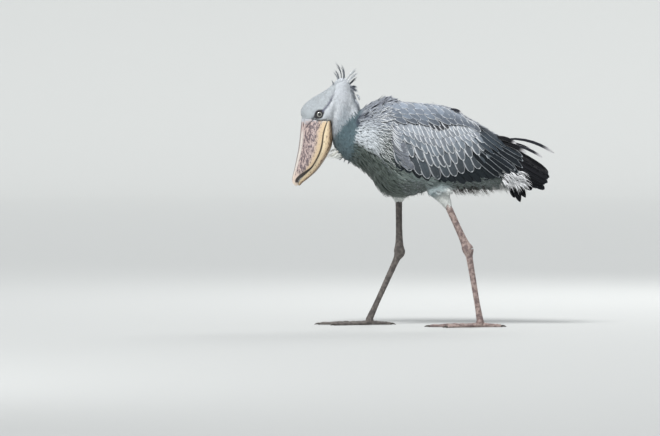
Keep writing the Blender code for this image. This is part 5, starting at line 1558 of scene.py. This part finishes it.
lid_finish, tree, shader = finish_named("eyelid", 0.55)
tree.links.new(mix(tree, noise(tree, 900.0), shade(30, 30, 34), shade(64, 62, 66)), shader.inputs["Base Color"])
tree.links.new(bump(tree, noise(tree, 1400.0), 0.0003), shader.inputs["Normal"])


def way_of_eye(side):
    """The way the cheek faces at the eye, and two ways across it."""
    x, z = np.array([EYE_DRAWN[0]]), np.array([EYE_DRAWN[1]])
    _, facing = on_flank(x, z, side, np.zeros(1), 0, HEAD_END)
    look = facing[0]
    aside = np.cross(look, (0, 0, 1))
    aside /= np.linalg.norm(aside)
    return look, aside, np.cross(aside, look)


def eyeball(side):
    look, aside, rise = way_of_eye(side)
    polar = np.linspace(0.012, math.pi - 0.012, EYE_ROWS)[:, None]
    turn = np.arange(EYE_SIDES) * 2 * np.pi / EYE_SIDES
    ways = look * np.cos(polar)[..., None] + (
        aside * np.cos(turn)[:, None] + rise * np.sin(turn)[:, None]) * np.sin(polar)[..., None]
    points = EYE_MIDDLE[side] + ways * EYE_RADIUS
    share = np.broadcast_to(polar / math.pi, ways.shape[:2])
    around_ball = np.broadcast_to(turn / (2 * math.pi), ways.shape[:2])
    flat = np.stack([0.5 + 0.48 * share * np.cos(turn), 0.5 + 0.48 * share * np.sin(turn)], -1)
    maps = {"OFBake": flat.reshape(-1, 2), "look": np.stack([around_ball, share], -1).reshape(-1, 2)}
    ball = object_from(f"eyeball_{SIDES[side]}", points.reshape(-1, 3), ring_faces(EYE_ROWS, EYE_SIDES), eye_finish, maps)
    return finished(ball, f"eye_{SIDES[side]}", slot="eye")


def eyelid(side):
    """The bare rim: a round ring round the eye, of uneven thickness."""
    look, aside, rise = way_of_eye(side)
    cheek = on_flank(np.array([EYE_DRAWN[0]]), np.array([EYE_DRAWN[1]]), side, np.array([-0.0004]), 0, HEAD_END)[0][0]
    turn = np.arange(48)[:, None] * 2 * np.pi / 48
    roll = np.arange(10) * 2 * np.pi / 10
    out = aside * np.cos(turn) + rise * np.sin(turn)
    centre = cheek + out * LID_RADIUS
    thick = LID_HALF * (1 + 0.25 * np.sin(turn * 2) ** 2 + 0.12 * np.sin(turn * 9))
    points = centre[:, None] + (look * np.sin(roll)[:, None] + out[:, None] * np.cos(roll)[:, None]) * thick[..., None]
    faces = []
    for i in range(48):
        for k in range(10):
            a, b, c = i * 10 + k, i * 10 + (k + 1) % 10, ((i + 1) % 48) * 10
            faces.append((a, c + k, c + (k + 1) % 10, b))
    flat = np.stack(np.broadcast_arrays(np.linspace(0.02, 0.98, 48)[:, None], np.linspace(0.02, 0.98, 10)), -1)
    lid = object_from(f"eyelid_{SIDES[side]}", points.reshape(-1, 3), faces, lid_finish, {"OFBake": flat.reshape(-1, 2)})
    return finished(lid, "head")


for side in SIDES:
    eyeball(side)
    eyelid(side)

# %% [markdown]
# The legs
#
# Below the feathers each leg is one unbroken skin over bone and sinew: the shank, the thick ankle joint, the long
# tarsus, the foot joint and four long toes. Tubes through those places are merged by a voxel remesh, as on the
# body. Small flat scales cover the skin; Geometry Nodes copy one scale over it, since all are alike.

# %% The skin of the legs
TOE_SPLAY = 28.0
TOES = (("middle", 0.0, 0.158), ("inner", TOE_SPLAY, 0.118), ("outer", -TOE_SPLAY, 0.124), ("hind", 180.0, 0.066))
TOE_RADIUS, TOE_LIFT, PAD_REACH = 0.0062, 0.8, 0.030
TOE_FATNESS = ((0, 1.0), (0.12, 1.0), (0.2, 0.84), (0.28, 0.96), (0.36, 0.98), (0.46, 0.80), (0.56, 0.94), (0.66, 0.92),
               (0.76, 0.76), (0.9, 0.82), (1, 0.58))
ANKLE_DROP = 0.016
SHANK_SHARES = (-0.04, 0.3, 0.6, 0.82, 0.93, 1.0)
SHANK_SIZES = ((0.0095, 0.0105), (0.0090, 0.0100), (0.0088, 0.0104), (0.0104, 0.0124), (0.0135, 0.0165),
               (0.0138, 0.0172), (0.0098, 0.0118))
TARSUS_SHARES = (0.0, 0.12, 0.4, 0.75, 0.92, 1.0)
TARSUS_SIZES = ((0.0094, 0.0114), (0.0080, 0.0098), (0.0074, 0.0090), (0.0075, 0.0085), (0.0090, 0.0100),
                (0.0100, 0.0105))
CLAW_LENGTH = 0.017
LEG_VOXEL = 0.0012


def smooth_tube(path, sizes, steps, sides):
    """A tube through places with given half widths and half depths, with rings added by a smooth curve."""
    rows = np.hstack([np.array(path), np.array(sizes)])
    made = between(rows, np.linspace(0, len(rows) - 1, steps))
    return tube_points(made[:, :3], made[:, 3], made[:, 4], sides)


def toe_line(side, bearing, length, shares):
    """Places along a toe on the ground and the way it points."""
    heading = math.radians(180 - side * bearing)
    ahead = np.array((math.cos(heading), math.sin(heading), 0))
    foot = leg_points(side)[3] * (1, 1, 0)
    return [foot + ahead * length * share for share in shares], ahead


def leg_skin(side):
    _, end, ankle, foot = leg_points(side)
    down = (foot - ankle) / np.linalg.norm(foot - ankle)
    knee = [end + (ankle - end) * share for share in SHANK_SHARES] + [ankle + down * ANKLE_DROP]
    parts = [(smooth_tube(knee, SHANK_SIZES, 36, 20), 36, 20)]
    start = ankle + down * ANKLE_DROP * 0.8
    shin = [start + (foot - start) * share for share in TARSUS_SHARES]
    parts.append((smooth_tube(shin, TARSUS_SIZES, 30, 20), 30, 20))
    ground = foot * (1, 1, 0)
    joint = [foot + np.array((0, 0, 0.004)), foot * (1, 1, 0.55), ground + (0, 0, 0.0050)]
    parts.append((smooth_tube(joint, ((0.0102, 0.0108), (0.0114, 0.0126), (0.0102, 0.0115)), 12, 20), 12, 20))
    for _, bearing, length in TOES:
        shares, fat = zip(*TOE_FATNESS)
        shares = (PAD_REACH / length * np.linspace(0, 0.9, 4)).tolist() + [
            (PAD_REACH + share * (length - PAD_REACH)) / length for share in shares]
        radii = np.array([1.35, 1.25, 1.15, 1.05, *fat]) * TOE_RADIUS
        line, ahead = toe_line(side, bearing, length, shares)
        line = [place + (0, 0, radius * TOE_LIFT) for place, radius in zip(line, radii)]
        parts.append((smooth_tube(line, np.stack([radii, radii], -1), 60, 16), 60, 16))
    points, faces = np.zeros((0, 3)), []
    for made, rings, sides in parts:
        faces += ring_faces(rings, sides, first=len(points))
        points = np.vstack([points, made])
    points[:, 2] = np.maximum(points[:, 2], 0.0004)
    leg = object_from(f"leg_skin_{SIDES[side]}", points, faces)
    merge = leg.modifiers.new("merge", "REMESH")
    merge.mode, merge.voxel_size = "VOXEL", LEG_VOXEL
    soften = leg.modifiers.new("soften", "SMOOTH")
    soften.factor, soften.iterations = 0.5, 3
    apply_modifiers(leg)
    leg.data.shade_smooth()
    return leg


# %% The scales' finish
# Light and dark tones for each leg's patches. The right leg, on the far side, has darker tones: painted shade.
LEG_COLOURS_FAR_SHADED = {LEFT: ((186, 166, 158), (124, 106, 104)), RIGHT: ((122, 115, 110), (84, 79, 76))}


def leg_finish(name, light, dark):
    made, tree, shader = finish_named(name, 0.62)
    place = add(tree, "ShaderNodeTexCoord").outputs["Object"]
    patches = noise(tree, 90.0, 4.0, place, 0.6)
    colour = mix(tree, ramp(tree, patches, 0.38, 0.62), shade(*dark), shade(*light))
    cells = add(tree, "ShaderNodeTexVoronoi", {"Vector": place, "Scale": 330.0}, feature="DISTANCE_TO_EDGE")
    seam = ramp(tree, cells.outputs["Distance"], 0.02, 0.10)
    colour = mix(tree, calc(tree, "MULTIPLY_ADD", seam, -0.55, 0.55), colour, shade(*dark) * 0.45)
    tree.links.new(colour, shader.inputs["Base Color"])
    tree.links.new(bump(tree, seam, 0.0004, 0.8), shader.inputs["Normal"])
    return made


def scale_shape():
    """One low six-sided dome, about one unit across."""
    turn = np.arange(6) * math.pi / 3
    rings = [(0.50, -0.04), (0.40, 0.10), (0.16, 0.16)]
    points = [(r * math.cos(a), r * math.sin(a), z) for r, z in rings for a in turn]
    vane = [(0.5 + x, 0.5 + y) for x, y, _ in points]
    shape = object_from("scale", points, ring_faces(3, 6), None, {"vane": np.array(vane)})
    bpy.context.scene.collection.objects.unlink(shape)
    return shape


scales = bpy.data.collections.new("scales")
scales.objects.link(scale_shape())
SCALE_SPACING, SCALE_SIZE = 0.0026, 0.0030


def scaly(leg, side, finish):
    """Scales over one leg, laid by the same tree as the feathers."""
    count = len(leg.data.vertices)
    points = points_of(leg.data)
    keep_value(leg.data, "scaly", "FLOAT", step(points[:, 2], 0.004, 0.007))
    keep_value(leg.data, "lie", "FLOAT_VECTOR", np.tile((0.1, 0.0, -1.0), (count, 1)))
    keep_value(leg.data, "size", "FLOAT_VECTOR", np.tile((SCALE_SIZE, SCALE_SIZE, 0.0), (count, 1)))
    keep_value(leg.data, "tint", "FLOAT_COLOR", np.ones((count, 4)))
    base = bpy.data.objects.new(f"scales_{SIDES[side]}", leg.data)
    bpy.context.scene.collection.objects.link(base)
    layer = base.modifiers.new("scales", "NODES")
    layer.node_group = lay_feathers
    values = {"Family": scales, "Region": "scaly", "Spacing": SCALE_SPACING, "Disorder": 0.05, "Length": 1.0,
              "Patch": PATCH, "Seed": 31, "Finish": finish}
    for socket in lay_feathers.interface.items_tree:
        if socket.name in values:
            layer[socket.identifier] = values[socket.name]
    apply_modifiers(base)
    for mesh in (base.data, leg.data):
        for spare in ("lie", "size", "scaly", "root_place"):
            if spare in mesh.attributes:
                mesh.attributes.remove(mesh.attributes[spare])
    return base


LEG_NODES = ("shank", "tarsus", "foot", "toe_middle", "toe_inner", "toe_outer", "toe_hind")
for side, name in SIDES.items():
    nodes = [f"{node}_{name}" for node in LEG_NODES]
    horny = leg_finish(f"leg_scales_{name}", *LEG_COLOURS_FAR_SHADED[side])
    leg = leg_skin(side)
    unwrap(leg, "OFBake")
    finished(scaly(leg, side, horny), *nodes, slot="leg_scales")
    leg.data.materials.append(horny)
    finished(leg, *nodes, slot="leg_scales")

# %% Claws
claw_finish, tree, shader = finish_named("claw", 0.35)
tree.links.new(mix(tree, noise(tree, 600.0), shade(40, 36, 34), shade(84, 76, 70)), shader.inputs["Base Color"])
CLAW_ROWS = (
    (-0.10, 0.0, 0.0030, 0.0034), (0.0, 0.0002, 0.0031, 0.0036), (0.4, 0.0010, 0.0024, 0.0028),
    (0.75, -0.0003, 0.0014, 0.0018), (1.0, -0.0022, 0.0004, 0.0005),
)
for side, name in SIDES.items():
    for toe, bearing, length in TOES:
        (end,), ahead = toe_line(side, bearing, length, (1.0,))
        path = [end + ahead * CLAW_LENGTH * reach + (0, 0, 0.0029 + rise) for reach, rise, _, _ in CLAW_ROWS]
        points = smooth_tube(path, [(wide, tall) for _, _, wide, tall in CLAW_ROWS], 16, 12)
        points[:, 2] = np.maximum(points[:, 2], 0.0002)
        flat = np.stack(np.meshgrid(np.linspace(0.02, 0.98, 16), np.linspace(0.02, 0.98, 12), indexing="ij"), -1)
        claw = object_from(f"claw_horn_{toe}_{name}", points, ring_faces(16, 12), claw_finish,
                           {"OFBake": flat.reshape(-1, 2)})
        finished(claw, f"claw_{toe}_{name}", slot="claw_horn")

# %% [markdown]
# Camera, light and floor
#
# The camera stands where the photographer stood: level with the bird's back, about 15 m away, with a long lens.
# The studio is plain: a pale floor and wide soft lamps, the strongest one high in front and to the left.

# %% Camera, light and floor
CAMERA_DISTANCE, CAMERA_HEIGHT = 15.0, 0.715
METRES_PER_PIXEL = 0.00315
PHOTO_WIDE, PHOTO_HIGH = 660, 436
PHOTO_ZERO_X, PHOTO_GROUND_Y = 421, 326
SENSOR = 36.0

eye = bpy.data.cameras.new("camera")
camera = bpy.data.objects.new("camera", eye)
bpy.context.scene.collection.objects.link(camera)
bpy.context.scene.camera = camera
eye.sensor_width = SENSOR
eye.lens = SENSOR * CAMERA_DISTANCE / (METRES_PER_PIXEL * PHOTO_WIDE)
eye.clip_start, eye.clip_end = 0.1, 100
aim_x = (PHOTO_WIDE / 2 - PHOTO_ZERO_X) * METRES_PER_PIXEL + SHIFT[0]
aim_z = (PHOTO_GROUND_Y - PHOTO_HIGH / 2) * METRES_PER_PIXEL + SHIFT[2]
camera.location = (aim_x, -CAMERA_DISTANCE, CAMERA_HEIGHT)
camera.rotation_euler = (Vector((aim_x, 0, aim_z)) - camera.location).to_track_quat("-Z", "Y").to_euler()


def soft_lamp(name, place, aim, size, power):
    lamp = bpy.data.lights.new(name, "AREA")
    lamp.shape, lamp.size, lamp.energy = "DISK", size, power
    made = bpy.data.objects.new(name, lamp)
    made.location = place
    made.rotation_euler = (Vector(aim) - Vector(place)).to_track_quat("-Z", "Y").to_euler()
    bpy.context.scene.collection.objects.link(made)
    return made


sun = bpy.data.lights.new("key", "SUN")
sun.energy, sun.angle = 3.1, math.radians(20)
key = bpy.data.objects.new("key", sun)
key.rotation_euler = Vector((0.30, 0.62, -1.0)).to_track_quat("-Z", "Y").to_euler()
bpy.context.scene.collection.objects.link(key)
soft_lamp("fill", (-2.4, -3.2, 1.4), (0, 0, 0.5), 2.4, 26)
soft_lamp("rim", (1.2, 2.6, 2.6), (0, 0, 0.5), 1.8, 50)

world = bpy.data.worlds.new("studio")
bpy.context.scene.world = world
world.use_nodes = True
world.node_tree.nodes["Background"].inputs["Color"].default_value = (0.90, 0.94, 1.0, 1)
world.node_tree.nodes["Background"].inputs["Strength"].default_value = 0.42
bpy.context.scene.view_settings.view_transform = "Standard"

# A wide round floor whose rim bends up far behind the camera, so that no edge shows from any side.
floor_finish, tree, shader = finish_named("floor", 0.9)
shader.inputs["Base Color"].default_value = (0.52, 0.53, 0.52, 1)
BEND_START, BEND_RADIUS, WALL_TOP, FLOOR_SIDES = 19.0, 5.0, 11.0, 96
rise_angle = np.linspace(0, math.pi / 2, 16)
profile = [(2.0, 0.0), (8.0, 0.0)]
profile += [*zip(BEND_START + BEND_RADIUS * np.sin(rise_angle), BEND_RADIUS * (1 - np.cos(rise_angle)))]
profile.append((BEND_START + BEND_RADIUS, WALL_TOP))
way_round = np.arange(FLOOR_SIDES) * 2 * np.pi / FLOOR_SIDES
points = [(0, 0, 0), *((r * math.cos(turn), r * math.sin(turn), z) for r, z in profile for turn in way_round)]
points = np.array(points) - (0, 0, 0.0005)
middle = [(0, 1 + k, 1 + (k + 1) % FLOOR_SIDES) for k in range(FLOOR_SIDES)]
rings = ring_faces(len(profile), FLOOR_SIDES, first=1, closed_ends=False)
floor = object_from("floor", points, middle + [face[::-1] for face in rings], floor_finish)
